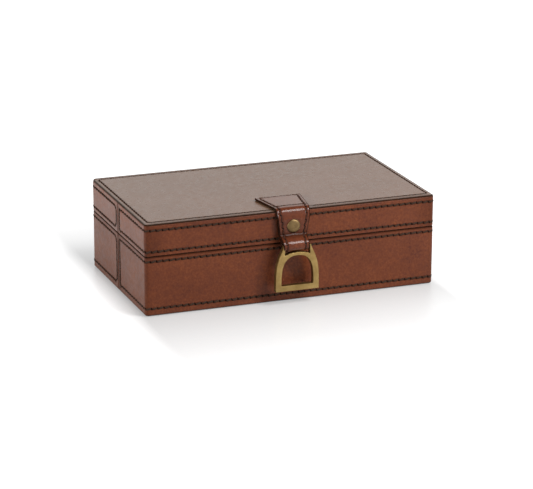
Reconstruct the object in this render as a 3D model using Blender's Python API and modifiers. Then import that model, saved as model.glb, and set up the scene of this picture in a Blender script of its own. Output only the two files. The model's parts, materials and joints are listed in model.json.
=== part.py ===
"""A low box covered in brown leather, with a hinged lid and a strap that ends in a brass stirrup.

Metres, +Z up. The origin is on the floor plane, under the middle of the box.
The strap side faces -Y, the hinges are at +Y and X runs along the width.
"""

import math

import bmesh
import bpy
from mathutils import Matrix, Vector

MM = 0.001

# Outer size of the closed box, without strap, stirrup and hinge barrels.
BOX_WIDTH = 266.0 * MM
BOX_DEPTH = 152.0 * MM
BOX_HEIGHT = 81.3 * MM
PARTING_SHARE = 0.6568
PARTING_GAP = 0.5 * MM
CORNER_RADIUS = 4.0 * MM
TOP_EDGE_RADIUS = 1.0 * MM
BOTTOM_EDGE_RADIUS = 2.0 * MM
RIM_EDGE_RADIUS = 0.7 * MM
SOFT_EDGE = 0.25 * MM

# Layers of the walls, from the outside in.
SEAT_GAP = 0.3 * MM
LEATHER = 1.6 * MM
BOARD = 6.0 * MM
LINING = 1.2 * MM
TOP_BOARD = 5.0 * MM
FLOOR_BOARD = 5.0 * MM
SHELL_LIFT = 0.3 * MM
TURN_UNDER = 12.0 * MM

# Hinges. Each barrel stands behind the rear wall, level with the parting line.
HINGE_SPACING_SHARE = 0.6015
HINGE_LENGTH = 30.0 * MM
BARREL_RADIUS = 2.4 * MM
PIN_RADIUS = 0.9 * MM
PIN_HEAD_RADIUS = 1.6 * MM
PIN_HEAD_HEIGHT = 0.6 * MM
LEAF_INSET = 8.0 * MM
SCREW_SPACING = 18.0 * MM
SCREW_LENGTH = 8.0 * MM
SCREW_SHANK_RADIUS = 0.9 * MM
SCREW_HEAD_RADIUS = 1.9 * MM
SCREW_HEAD_HEIGHT = 1.0 * MM
SCREW_SLOT_WIDTH = 0.5 * MM
SCREW_SLOT_DEPTH = 0.4 * MM

# Strap. Its upper part lies on the lid, its lower part hangs in front and is folded round the bar.
STRAP = 2.0 * MM
STRAP_REACH = 38.0 * MM
STRAP_BACK_WIDTH = 43.3 * MM
STRAP_EDGE_WIDTH = 30.2 * MM
TAB_TOP_WIDTH = 29.0 * MM
TAB_RIVET_WIDTH = 26.0 * MM
FLEX_DROP = 1.5 * MM
TAB_TOP_PULL_SHARE = 1.45
FOLD_CREASE_PULL_SHARE = 0.8
FOLD_SHOULDER_PULL_SHARE = 1.75
FOLD_RETURN_SHARE = 0.8

# Rivet through both layers of the strap.
RIVET_HEIGHT_SHARE = 0.845
RIVET_HEAD_RADIUS = 6.0 * MM
RIVET_HEAD_RIM = 0.5 * MM
RIVET_HEAD_RISE = 0.7 * MM
RIVET_SHANK_RADIUS = 2.0 * MM
RIVET_TAIL_RADIUS = 4.0 * MM
RIVET_TAIL_HEIGHT = 0.8 * MM

# Stirrup, a flat casting with an arched foot opening and a slot under its bar.
STIRRUP_WIDTH = 39.6 * MM
STIRRUP_HEIGHT = 40.5 * MM
STIRRUP_THICKNESS = 5.5 * MM
BAR_HEIGHT_SHARE = 0.6396
STIRRUP_STANDOFF = 9.75 * MM
STIRRUP_EDGE = 0.3 * MM
BAR_RADIUS = 1.4 * MM
BAR_BELOW_TOP = 1.5 * MM

# Half outlines of the stirrup, as shares of its half width and of its height.
STIRRUP_OUTER_SHARES = (
    (1.000, 0.000), (1.000, 0.100), (0.998, 0.222), (0.990, 0.346), (0.975, 0.457), (0.942, 0.568),
    (0.884, 0.674), (0.818, 0.763), (0.742, 0.849), (0.692, 0.899), (0.655, 0.943), (0.630, 0.978),
    (0.621, 1.000),
)
STIRRUP_SLOT_WALL_SHARES = ((0.571, 1.000), (0.574, 0.943), (0.584, 0.856), (0.600, 0.793))
STIRRUP_SLOT_FLOOR_SHARES = (
    (0.600, 0.793), (0.535, 0.804), (0.450, 0.819), (0.330, 0.833), (0.200, 0.843), (0.070, 0.848),
    (0.000, 0.849),
)
STIRRUP_OPENING_SHARES = (
    (0.745, 0.121), (0.745, 0.207), (0.741, 0.289), (0.730, 0.370), (0.707, 0.464), (0.662, 0.551),
    (0.590, 0.632), (0.485, 0.699), (0.348, 0.748), (0.198, 0.774), (0.066, 0.780), (0.000, 0.781),
)

# Counts, angles and proportions.
CORNER_STEPS = 8
EDGE_STEPS = 3
ROUND_SIDES = 32
BAR_SIDES = 40
BEND_STEPS = 10
LOOP_STEPS = 18
TAB_TOP_STEPS = 6
FOLD_STEPS = 12
OUTLINE_STEPS = 3
RIM_CUT_EXTRA = 3.0 * MM
SOFT_EDGE_ANGLE = math.radians(40.0)
SMOOTH_ANGLE = math.radians(35.0)
QUARTER_TURN = math.radians(90.0)
HALF_TURN = math.radians(180.0)
KNUCKLES = 3
SCREW_PILOT_EXTRA = 1.5 * MM

# Derived planes and radii.
HALF = 0.5
HALF_WIDTH = BOX_WIDTH * HALF
HALF_DEPTH = BOX_DEPTH * HALF
FRONT_FACE = -HALF_DEPTH
REAR_FACE = HALF_DEPTH
PARTING_HEIGHT = BOX_HEIGHT * PARTING_SHARE
BASE_RIM = PARTING_HEIGHT - PARTING_GAP * HALF
LID_RIM = PARTING_HEIGHT + PARTING_GAP * HALF
BOARD_OFFSET = LEATHER + SEAT_GAP
BOARD_INNER = BOARD_OFFSET + BOARD
LINING_OFFSET = BOARD_INNER + SEAT_GAP
CAVITY_OFFSET = LINING_OFFSET + LINING
BOARD_CORNER_RADIUS = CORNER_RADIUS - BOARD_OFFSET
SPACE_CORNER_RADIUS = CORNER_RADIUS - LEATHER
UNDERSIDE_THICKNESS = SHELL_LIFT + LEATHER
BASE_BOARD_BOTTOM = UNDERSIDE_THICKNESS + SEAT_GAP
BASE_BOARD_TOP = BASE_RIM - LEATHER - SEAT_GAP
LID_BOARD_BOTTOM = LID_RIM + LEATHER + SEAT_GAP
TOP_LEATHER_BOTTOM = BOX_HEIGHT - LEATHER
LID_WRAP_TOP = TOP_LEATHER_BOTTOM - SEAT_GAP
TOP_BOARD_BOTTOM = LID_WRAP_TOP - TOP_BOARD
LID_WALL_TOP = TOP_BOARD_BOTTOM - SEAT_GAP
FLOOR_BOARD_TOP = BASE_BOARD_BOTTOM + FLOOR_BOARD
FLOOR_LINING_TOP = FLOOR_BOARD_TOP + SEAT_GAP + LINING
LID_LINING_BOTTOM = LID_WALL_TOP - LINING

HINGE_SPACING = BOX_WIDTH * HINGE_SPACING_SHARE
PIN_Y = REAR_FACE + SEAT_GAP + BARREL_RADIUS
PIN_Z = PARTING_HEIGHT
BORE_RADIUS = PIN_RADIUS + SEAT_GAP
LEAF_FRONT = REAR_FACE - LEAF_INSET
SCREW_Y = REAR_FACE - BOARD_OFFSET - BOARD * HALF

STRAP_HALF = STRAP * HALF
BEND_INNER_RADIUS = TOP_EDGE_RADIUS + SEAT_GAP
BEND_RADIUS = BEND_INNER_RADIUS + STRAP_HALF
BEND_CENTRE_OUT = -TOP_EDGE_RADIUS
BEND_CENTRE_Z = BOX_HEIGHT - TOP_EDGE_RADIUS
BACK_LAYER_OUT = SEAT_GAP + STRAP_HALF
FRONT_LAYER_OUT = BACK_LAYER_OUT + STRAP + SEAT_GAP
FLEX_Z = BEND_CENTRE_Z - FLEX_DROP
FLEX_HOLLOW_RADIUS = STRAP_HALF + SEAT_GAP
RIVET_HEIGHT = BOX_HEIGHT * RIVET_HEIGHT_SHARE
RIVET_FLAT_TOP = RIVET_HEIGHT + RIVET_HEAD_RADIUS + SEAT_GAP
RIVET_FLAT_BOTTOM = RIVET_HEIGHT - RIVET_HEAD_RADIUS + SEAT_GAP
BACK_LAYER_TOP = RIVET_FLAT_TOP - STRAP_HALF

BAR_OUT = STIRRUP_STANDOFF
BAR_Z = BOX_HEIGHT * BAR_HEIGHT_SHARE
TAB_TOP_PULL = (FLEX_Z - RIVET_FLAT_TOP) * TAB_TOP_PULL_SHARE
FOLD_DROP = RIVET_FLAT_BOTTOM - BAR_Z
FOLD_CREASE_PULL = FOLD_DROP * FOLD_CREASE_PULL_SHARE
FOLD_SHOULDER_PULL = FOLD_DROP * FOLD_SHOULDER_PULL_SHARE
BACK_LAYER_BOTTOM = BAR_Z + FOLD_DROP * FOLD_RETURN_SHARE
LOOP_RADIUS = BAR_RADIUS + SEAT_GAP + STRAP_HALF
STIRRUP_HALF_WIDTH = STIRRUP_WIDTH * HALF
HORN_MIDDLE_SHARE = (STIRRUP_OUTER_SHARES[-1][0] + STIRRUP_SLOT_WALL_SHARES[0][0]) * HALF
BAR_HALF_LENGTH = HORN_MIDDLE_SHARE * STIRRUP_HALF_WIDTH
LOOP_HALF_WIDTH = STIRRUP_SLOT_WALL_SHARES[0][0] * STIRRUP_HALF_WIDTH - SEAT_GAP
HORN_TOP_Z = BAR_Z + BAR_BELOW_TOP + STIRRUP_EDGE

LEATHER_COLOUR = (0.150, 0.045, 0.024)
TOP_LEATHER_COLOUR = (0.115, 0.040, 0.025)
STRAP_COLOUR = (0.160, 0.050, 0.030)
UNDERSIDE_COLOUR = (0.060, 0.022, 0.014)
LINING_COLOUR = (0.120, 0.070, 0.045)
BOARD_COLOUR = (0.420, 0.300, 0.180)
BRASS_COLOUR = (0.430, 0.300, 0.130)
SCREW_COLOUR = (0.500, 0.370, 0.170)
LEATHER_ROUGHNESS = 0.35
TOP_ROUGHNESS = 0.25
SUEDE_ROUGHNESS = 0.9
BOARD_ROUGHNESS = 0.75
BRASS_ROUGHNESS = 0.35


def clear_scene():
    for old in list(bpy.data.objects):
        bpy.data.objects.remove(old, do_unlink=True)


def new_collection(name, helpers=False):
    made = bpy.data.collections.new(name)
    bpy.context.scene.collection.children.link(made)
    made.hide_render = helpers
    return made


def new_material(name, colour, roughness, metallic=0.0):
    made = bpy.data.materials.new(name)
    made.use_nodes = True
    shader = made.node_tree.nodes["Principled BSDF"]
    shader.inputs["Base Color"].default_value = (*colour, 1.0)
    shader.inputs["Roughness"].default_value = roughness
    shader.inputs["Metallic"].default_value = metallic
    return made


clear_scene()
PIECES = new_collection("leather_box")
CUTTERS = new_collection("cutters", helpers=True)


def new_axis(name, location, parent=None):
    """An empty on a joint's axis. The pieces that turn about the axis are its children."""
    axis = bpy.data.objects.new(name, None)
    PIECES.objects.link(axis)
    axis["at"] = tuple(location)
    axis.parent = parent
    axis.location = Vector(location) - parent_place(parent)
    return axis


def parent_place(parent):
    return Vector(parent["at"]) if parent else Vector((0.0, 0.0, 0.0))


def mesh_from(bm, name):
    bmesh.ops.recalc_face_normals(bm, faces=bm.faces)
    mesh = bpy.data.meshes.new(name)
    bm.to_mesh(mesh)
    bm.free()
    return mesh


def add_piece(name, mesh, location, material, parent=None):
    obj = bpy.data.objects.new(name, mesh)
    PIECES.objects.link(obj)
    obj.parent = parent
    obj.location = Vector(location) - parent_place(parent)
    obj.data.materials.append(material)
    return obj


def add_cutter(name, mesh, location):
    obj = bpy.data.objects.new(name, mesh)
    CUTTERS.objects.link(obj)
    obj.location = location
    obj.hide_render = True
    obj.display_type = "WIRE"
    return obj


def cut(obj, cutter, operation="DIFFERENCE"):
    modifier = obj.modifiers.new(cutter.name, "BOOLEAN")
    modifier.operation = operation
    modifier.solver = "EXACT"
    modifier.object = cutter


def soften(obj, width=SOFT_EDGE, steps=1):
    modifier = obj.modifiers.new("soft_edges", "BEVEL")
    modifier.width = width
    modifier.segments = steps
    modifier.limit_method = "ANGLE"
    modifier.angle_limit = SOFT_EDGE_ANGLE


def smooth(obj):
    obj.data.shade_smooth()
    obj.data.set_sharp_from_angle(angle=SMOOTH_ANGLE)


def block_mesh(low, high):
    """A box from its low corner to its high corner, made round its own centre."""
    bm = bmesh.new()
    bmesh.ops.create_cube(bm, size=1.0)
    bmesh.ops.scale(bm, vec=Vector(high) - Vector(low), verts=bm.verts)
    return mesh_from(bm, "block")


def middle(low, high):
    return (Vector(low) + Vector(high)) * HALF


def upright(edge):
    return abs(edge.verts[0].co.z - edge.verts[1].co.z) > SOFT_EDGE


def rounded_mesh(low, high, corner_radius, top_radius=0.0, bottom_radius=0.0):
    """A box whose upright edges are rounded first, and then the edges round its top and its bottom."""
    bm = bmesh.new()
    bmesh.ops.create_cube(bm, size=1.0)
    bmesh.ops.scale(bm, vec=Vector(high) - Vector(low), verts=bm.verts)
    if corner_radius > 0:
        bmesh.ops.bevel(bm, geom=[e for e in bm.edges if upright(e)], offset=corner_radius,
                        offset_type="OFFSET", segments=CORNER_STEPS, profile=HALF, affect="EDGES")
    top = (high[2] - low[2]) * HALF
    for radius, level in ((top_radius, top), (bottom_radius, -top)):
        rim = [e for e in bm.edges if all(abs(v.co.z - level) < SOFT_EDGE * HALF for v in e.verts)]
        if radius > 0:
            bmesh.ops.bevel(bm, geom=rim, offset=radius, offset_type="OFFSET", segments=EDGE_STEPS,
                            profile=HALF, affect="EDGES", clamp_overlap=True)
    return mesh_from(bm, "rounded_block")


def add_block(name, low, high, material, parent=None):
    obj = add_piece(name, block_mesh(low, high), middle(low, high), material, parent)
    soften(obj)
    return obj


def add_block_cutter(name, low, high):
    return add_cutter(name, block_mesh(low, high), middle(low, high))


def rod_mesh(radius, length, sides, along):
    """A cylinder round its own centre, along one of the axes."""
    bm = bmesh.new()
    bmesh.ops.create_cone(bm, cap_ends=True, cap_tris=False, segments=sides, radius1=radius,
                          radius2=radius, depth=length)
    if along == "X":
        bmesh.ops.rotate(bm, matrix=Matrix.Rotation(QUARTER_TURN, 3, "Y"), verts=bm.verts)
    if along == "Y":
        bmesh.ops.rotate(bm, matrix=Matrix.Rotation(QUARTER_TURN, 3, "X"), verts=bm.verts)
    return mesh_from(bm, "rod")


def turned_object(name, profile, location, material, parent=None, towards_front=False):
    """A turned piece: its profile runs from top to bottom at +X and is turned round the object's Z."""
    mesh = bpy.data.meshes.new(name)
    points = [(radius, 0.0, height) for radius, height in profile]
    mesh.from_pydata(points, [(i, i + 1) for i in range(len(points) - 1)], [])
    obj = add_piece(name, mesh, location, material, parent)
    turn = obj.modifiers.new("turn", "SCREW")
    turn.steps = ROUND_SIDES
    turn.render_steps = ROUND_SIDES
    turn.use_merge_vertices = True
    turn.merge_threshold = MM * MM
    turn.use_smooth_shade = True
    if towards_front:
        obj.rotation_euler = (QUARTER_TURN, 0.0, 0.0)
    return obj


# Materials, one for each piece.
def leather(name, colour=LEATHER_COLOUR, roughness=LEATHER_ROUGHNESS):
    return new_material(name, colour, roughness)


def board(name):
    return new_material(name, BOARD_COLOUR, BOARD_ROUGHNESS)


def suede(name):
    return new_material(name, LINING_COLOUR, SUEDE_ROUGHNESS)


def brass(name, colour=BRASS_COLOUR):
    return new_material(name, colour, BRASS_ROUGHNESS, metallic=1.0)


lid_axis = new_axis("lid_axis", (0.0, PIN_Y, PIN_Z))
strap_axis = new_axis("strap_axis", (0.0, FRONT_FACE - BACK_LAYER_OUT, FLEX_Z), lid_axis)
stirrup_axis = new_axis("stirrup_axis", (0.0, FRONT_FACE - BAR_OUT, BAR_Z), strap_axis)


# Boards of the base and of the lid. The front and rear boards cover the ends of the side boards.
def add_wall_boards(prefix, bottom, top, parent):
    outer_x = HALF_WIDTH - BOARD_OFFSET
    outer_y = HALF_DEPTH - BOARD_OFFSET
    inner_x = HALF_WIDTH - BOARD_INNER
    inner_y = HALF_DEPTH - BOARD_INNER
    walls = {}
    for side, near, far in (("front", -outer_y, -inner_y), ("rear", inner_y, outer_y)):
        low = (-outer_x, near, bottom)
        high = (outer_x, far, top)
        name = f"{prefix}_{side}_board"
        obj = add_piece(name, outer_rounded_board(low, high, side), middle(low, high), board(name), parent)
        walls[side] = obj
    for side, near, far in (("left", -outer_x, -inner_x), ("right", inner_x, outer_x)):
        name = f"{prefix}_{side}_board"
        walls[side] = add_block(name, (near, -inner_y + SEAT_GAP, bottom), (far, inner_y - SEAT_GAP, top),
                                board(name), parent)
    return walls


def outer_rounded_board(low, high, side):
    """A long board whose two outer upright edges are rounded to lie under the leather's corners."""
    bm = bmesh.new()
    bmesh.ops.create_cube(bm, size=1.0)
    bmesh.ops.scale(bm, vec=Vector(high) - Vector(low), verts=bm.verts)
    outward = -1 if side == "front" else 1
    edges = [e for e in bm.edges if upright(e) and all(v.co.y * outward > 0 for v in e.verts)]
    bmesh.ops.bevel(bm, geom=edges, offset=BOARD_CORNER_RADIUS, offset_type="OFFSET",
                    segments=CORNER_STEPS, profile=HALF, affect="EDGES")
    return mesh_from(bm, "board")


base_walls = add_wall_boards("base", BASE_BOARD_BOTTOM, BASE_BOARD_TOP, None)
lid_walls = add_wall_boards("lid", LID_BOARD_BOTTOM, LID_WALL_TOP, lid_axis)

inside_x = HALF_WIDTH - LINING_OFFSET
inside_y = HALF_DEPTH - LINING_OFFSET
add_block("base_bottom_board", (-inside_x, -inside_y, BASE_BOARD_BOTTOM),
          (inside_x, inside_y, FLOOR_BOARD_TOP), board("base_bottom_board"))
top_low = (-HALF_WIDTH + BOARD_OFFSET, -HALF_DEPTH + BOARD_OFFSET, TOP_BOARD_BOTTOM)
top_high = (HALF_WIDTH - BOARD_OFFSET, HALF_DEPTH - BOARD_OFFSET, LID_WRAP_TOP)
add_piece("lid_top_board", rounded_mesh(top_low, top_high, BOARD_CORNER_RADIUS),
          middle(top_low, top_high), board("lid_top_board"), lid_axis)


# Linings. The front and rear linings cover the ends of the side linings.
def add_wall_linings(prefix, bottom, top, parent):
    cavity_x = HALF_WIDTH - CAVITY_OFFSET
    cavity_y = HALF_DEPTH - CAVITY_OFFSET
    for side, near, far in (("front", -inside_y, -cavity_y), ("rear", cavity_y, inside_y)):
        name = f"{prefix}_{side}_lining"
        add_block(name, (-inside_x, near, bottom), (inside_x, far, top), suede(name), parent)
    for side, near, far in (("left", -inside_x, -cavity_x), ("right", cavity_x, inside_x)):
        name = f"{prefix}_{side}_lining"
        add_block(name, (near, -cavity_y + SEAT_GAP, bottom), (far, cavity_y - SEAT_GAP, top),
                  suede(name), parent)


add_wall_linings("base", FLOOR_LINING_TOP + SEAT_GAP, BASE_BOARD_TOP, None)
add_wall_linings("lid", LID_BOARD_BOTTOM, LID_LINING_BOTTOM - SEAT_GAP, lid_axis)
add_block("base_floor_lining", (-inside_x, -inside_y, FLOOR_BOARD_TOP + SEAT_GAP),
          (inside_x, inside_y, FLOOR_LINING_TOP), suede("base_floor_lining"))
add_block("lid_top_lining", (-inside_x, -inside_y, LID_LINING_BOTTOM),
          (inside_x, inside_y, LID_WALL_TOP), suede("lid_top_lining"), lid_axis)


# Leather wraps. Each half runs round from the middle of one end to the middle of the other,
# and is turned over the rim. The base wraps are turned under the box too.
def leaf_notch(name, x, low_z, high_z):
    reach = HINGE_LENGTH * HALF + SEAT_GAP
    return add_block_cutter(name, (x - reach, LEAF_FRONT - SEAT_GAP, low_z),
                            (x + reach, REAR_FACE + RIM_CUT_EXTRA, high_z))


def half_space(name, keep_front):
    near = -SEAT_GAP * HALF if keep_front else -BOX_DEPTH
    far = BOX_DEPTH if keep_front else SEAT_GAP * HALF
    return add_block_cutter(name, (-BOX_WIDTH, near, -BOX_HEIGHT), (BOX_WIDTH, far, BOX_HEIGHT * 2))


def add_wrap(name, low_z, high_z, edge_radii, cutters, parent):
    low = (-HALF_WIDTH, -HALF_DEPTH, low_z)
    high = (HALF_WIDTH, HALF_DEPTH, high_z)
    mesh = rounded_mesh(low, high, CORNER_RADIUS, *edge_radii)
    obj = add_piece(name, mesh, middle(low, high), leather(name), parent)
    for cutter in cutters:
        cut(obj, cutter)
    smooth(obj)
    return obj


def board_space(name, low_z, high_z):
    low = (-HALF_WIDTH + LEATHER, -HALF_DEPTH + LEATHER, low_z)
    high = (HALF_WIDTH - LEATHER, HALF_DEPTH - LEATHER, high_z)
    return add_cutter(name, rounded_mesh(low, high, SPACE_CORNER_RADIUS), middle(low, high))


def rim_opening(name, inset, low_z, high_z):
    return add_block_cutter(name, (-HALF_WIDTH + inset, -HALF_DEPTH + inset, low_z),
                            (HALF_WIDTH - inset, HALF_DEPTH - inset, high_z))


behind_seam = half_space("behind_seam", keep_front=True)
before_seam = half_space("before_seam", keep_front=False)
base_space = board_space("base_space", UNDERSIDE_THICKNESS, BASE_RIM - LEATHER)
base_mouth = rim_opening("base_mouth", CAVITY_OFFSET, BASE_RIM - LEATHER - RIM_CUT_EXTRA,
                         BASE_RIM + RIM_CUT_EXTRA)
base_under = rim_opening("base_under", TURN_UNDER, -RIM_CUT_EXTRA, UNDERSIDE_THICKNESS + RIM_CUT_EXTRA)
lid_space = board_space("lid_space", LID_RIM + LEATHER, LID_WRAP_TOP + RIM_CUT_EXTRA)
lid_mouth = rim_opening("lid_mouth", CAVITY_OFFSET, LID_RIM - RIM_CUT_EXTRA,
                        LID_RIM + LEATHER + RIM_CUT_EXTRA)
hinge_places = {"left": -HINGE_SPACING * HALF, "right": HINGE_SPACING * HALF}
base_notches = [leaf_notch(f"{side}_base_notch", x, BASE_BOARD_TOP, BASE_RIM + RIM_CUT_EXTRA)
                for side, x in hinge_places.items()]
lid_notches = [leaf_notch(f"{side}_lid_notch", x, LID_RIM - RIM_CUT_EXTRA, LID_BOARD_BOTTOM)
               for side, x in hinge_places.items()]

base_cuts = [base_space, base_mouth, base_under]
base_radii = (RIM_EDGE_RADIUS, BOTTOM_EDGE_RADIUS)
lid_radii = (0.0, RIM_EDGE_RADIUS)
add_wrap("base_front_leather", SHELL_LIFT, BASE_RIM, base_radii, base_cuts + [behind_seam], None)
add_wrap("base_rear_leather", SHELL_LIFT, BASE_RIM, base_radii, base_cuts + base_notches + [before_seam],
         None)
add_wrap("lid_front_leather", LID_RIM, LID_WRAP_TOP, lid_radii, [lid_space, lid_mouth, behind_seam],
         lid_axis)
add_wrap("lid_rear_leather", LID_RIM, LID_WRAP_TOP, lid_radii,
         [lid_space, lid_mouth] + lid_notches + [before_seam], lid_axis)

under_inset = TURN_UNDER + SEAT_GAP
add_block("base_underside_leather", (-HALF_WIDTH + under_inset, -HALF_DEPTH + under_inset, 0.0),
          (HALF_WIDTH - under_inset, HALF_DEPTH - under_inset, UNDERSIDE_THICKNESS),
          leather("base_underside_leather", UNDERSIDE_COLOUR))
lid_low = (-HALF_WIDTH, -HALF_DEPTH, TOP_LEATHER_BOTTOM)
lid_high = (HALF_WIDTH, HALF_DEPTH, BOX_HEIGHT)
smooth(add_piece("lid_top_leather",
                 rounded_mesh(lid_low, lid_high, CORNER_RADIUS, TOP_EDGE_RADIUS, SOFT_EDGE),
                 middle(lid_low, lid_high),
                 leather("lid_top_leather", TOP_LEATHER_COLOUR, TOP_ROUGHNESS), lid_axis))


# Hinges. The base leaf carries the two outer knuckles and the lid leaf the middle one.
knuckle_pitch = HINGE_LENGTH / KNUCKLES
screw_places = (-SCREW_SPACING * HALF, SCREW_SPACING * HALF)


def screw_hole(name, x, top_z, downwards):
    """Clearance for one countersunk screw, from the leaf's face into the board."""
    bm = bmesh.new()
    wide = SCREW_HEAD_RADIUS + SEAT_GAP
    narrow = SCREW_SHANK_RADIUS + SEAT_GAP
    depth = SCREW_HEAD_HEIGHT
    stem = SCREW_LENGTH + SCREW_PILOT_EXTRA
    above = SEAT_GAP
    profile = [(0.0, above), (wide, above), (wide, 0.0), (narrow, -depth), (narrow, -stem), (0.0, -stem)]
    verts = [bm.verts.new((radius, 0.0, height)) for radius, height in profile]
    edges = [bm.edges.new(pair) for pair in zip(verts, verts[1:])]
    bmesh.ops.spin(bm, geom=verts + edges, axis=(0.0, 0.0, 1.0), cent=(0.0, 0.0, 0.0),
                   angle=HALF_TURN + HALF_TURN, steps=ROUND_SIDES, use_duplicate=False)
    bmesh.ops.remove_doubles(bm, verts=bm.verts, dist=MM * MM)
    if not downwards:
        bmesh.ops.rotate(bm, matrix=Matrix.Rotation(HALF_TURN, 3, "X"), verts=bm.verts)
    return add_cutter(name, mesh_from(bm, name), (x, SCREW_Y, top_z))


def add_leaf(name, x, low_z, high_z, knuckle_numbers, holes, parent):
    """A flat leaf with its knuckles curled round the pin."""
    reach = HINGE_LENGTH * HALF
    low = (x - reach, LEAF_FRONT, low_z)
    high = (x + reach, REAR_FACE, high_z)
    obj = add_piece(name, block_mesh(low, high), middle(low, high), brass(name), parent)
    for number in knuckle_numbers:
        start = x - reach + number * knuckle_pitch
        ends = (start, start + knuckle_pitch)
        if number > 0:
            ends = (ends[0] + SEAT_GAP * HALF, ends[1])
        if number < KNUCKLES - 1:
            ends = (ends[0], ends[1] - SEAT_GAP * HALF)
        centre = (ends[0] + ends[1]) * HALF
        tongue = add_block_cutter(f"{name}_tongue_{number}", (ends[0], REAR_FACE - LEATHER, low_z),
                                  (ends[1], PIN_Y, high_z))
        knuckle = add_cutter(f"{name}_knuckle_{number}",
                             rod_mesh(BARREL_RADIUS, ends[1] - ends[0], ROUND_SIDES, "X"),
                             (centre, PIN_Y, PIN_Z))
        cut(obj, tongue, "UNION")
        cut(obj, knuckle, "UNION")
    bore = add_cutter(f"{name}_bore", rod_mesh(BORE_RADIUS, HINGE_LENGTH * 2, ROUND_SIDES, "X"),
                      (x, PIN_Y, PIN_Z))
    cut(obj, bore)
    for hole in holes:
        cut(obj, hole)
    smooth(obj)


def add_screw(name, x, face_z, head_up, parent):
    """One countersunk screw with a straight slot, its head's face flush with the leaf."""
    profile = [(0.0, 0.0), (SCREW_HEAD_RADIUS, 0.0), (SCREW_SHANK_RADIUS, -SCREW_HEAD_HEIGHT),
               (SCREW_SHANK_RADIUS, -SCREW_LENGTH), (0.0, -SCREW_LENGTH - SCREW_SHANK_RADIUS)]
    obj = turned_object(name, profile, (x, SCREW_Y, face_z), brass(name, SCREW_COLOUR), parent)
    if not head_up:
        obj.rotation_euler = (HALF_TURN, 0.0, 0.0)
    reach = SCREW_HEAD_RADIUS * 2
    slot = add_block_cutter(f"{name}_slot",
                            (x - SCREW_SLOT_WIDTH * HALF, SCREW_Y - reach, face_z - SCREW_SLOT_DEPTH),
                            (x + SCREW_SLOT_WIDTH * HALF, SCREW_Y + reach, face_z + SCREW_SLOT_DEPTH))
    cut(obj, slot)


base_holes = {}
lid_holes = {}
for side, x in hinge_places.items():
    base_holes[side] = [screw_hole(f"base_{side}_hole_{n}", x + dx, BASE_RIM, True)
                        for n, dx in enumerate(screw_places)]
    lid_holes[side] = [screw_hole(f"lid_{side}_hole_{n}", x + dx, LID_RIM, False)
                       for n, dx in enumerate(screw_places)]
    add_leaf(f"hinge_{side}_base_leaf", x, BASE_RIM - LEATHER, BASE_RIM,
             [n for n in range(KNUCKLES) if n % 2 == 0], base_holes[side], None)
    add_leaf(f"hinge_{side}_lid_leaf", x, LID_RIM, LID_RIM + LEATHER,
             [n for n in range(KNUCKLES) if n % 2 == 1], lid_holes[side], lid_axis)
    for hole in base_holes[side]:
        cut(base_walls["rear"], hole)
    for hole in lid_holes[side]:
        cut(lid_walls["rear"], hole)
    for n, dx in enumerate(screw_places):
        add_screw(f"hinge_{side}_base_screw_{n + 1}", x + dx, BASE_RIM, True, None)
        add_screw(f"hinge_{side}_lid_screw_{n + 1}", x + dx, LID_RIM, False, lid_axis)
    half_pin = HINGE_LENGTH * HALF + SEAT_GAP
    end = half_pin + PIN_HEAD_HEIGHT
    pin = turned_object(f"hinge_{side}_pin",
                        [(0.0, end), (PIN_HEAD_RADIUS * HALF, end), (PIN_HEAD_RADIUS, half_pin),
                         (PIN_RADIUS, half_pin), (PIN_RADIUS, -half_pin), (PIN_HEAD_RADIUS, -half_pin),
                         (PIN_HEAD_RADIUS * HALF, -end), (0.0, -end)],
                        (x, PIN_Y, PIN_Z), brass(f"hinge_{side}_pin"), lid_axis)
    pin.rotation_euler = (0.0, QUARTER_TURN, 0.0)


# Strap. A path in the side view, given as distance out from the front face and height.
def eased(start, start_pull, end, end_pull, steps):
    """Points of a cubic curve between two places, leaving and arriving along the pull vectors."""
    points = []
    for step in range(1, steps + 1):
        t = step / steps
        a = 2 * t ** 3 - 3 * t ** 2 + 1
        b = t ** 3 - 2 * t ** 2 + t
        c = 3 * t ** 2 - 2 * t ** 3
        d = t ** 3 - t ** 2
        points.append(tuple(a * p + b * m + c * q + d * n
                            for p, m, q, n in zip(start, start_pull, end, end_pull)))
    return points


def strip_mesh(stations):
    """An open band across X: one pair of points for each station of (out, height, half width)."""
    bm = bmesh.new()
    rows = []
    for out, height, half_width in stations:
        rows.append((bm.verts.new((-half_width, FRONT_FACE - out, height)),
                     bm.verts.new((half_width, FRONT_FACE - out, height))))
    for near, far in zip(rows, rows[1:]):
        bm.faces.new((near[0], near[1], far[1], far[0]))
    mesh = bpy.data.meshes.new("strip")
    bm.to_mesh(mesh)
    bm.free()
    return mesh


def add_strip(name, stations, anchor, parent):
    mesh = strip_mesh(stations)
    mesh.transform(Matrix.Translation(-Vector(anchor)))
    obj = add_piece(name, mesh, anchor, leather(name, STRAP_COLOUR, TOP_ROUGHNESS), parent)
    thick = obj.modifiers.new("thickness", "SOLIDIFY")
    thick.thickness = STRAP
    thick.offset = 0.0
    thick.use_even_offset = True
    return obj


def between(value, start, end, first, last):
    share = min(max((value - start) / (end - start), 0.0), 1.0)
    return first + (last - first) * share


def top_half_width(out):
    return between(out, -STRAP_REACH, 0.0, STRAP_BACK_WIDTH, STRAP_EDGE_WIDTH) * HALF


def tab_half_width(height):
    if height > RIVET_HEIGHT:
        return between(height, RIVET_HEIGHT, FLEX_Z, TAB_RIVET_WIDTH, TAB_TOP_WIDTH) * HALF
    return between(height, HORN_TOP_Z, RIVET_HEIGHT, LOOP_HALF_WIDTH, TAB_RIVET_WIDTH * HALF)


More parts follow.
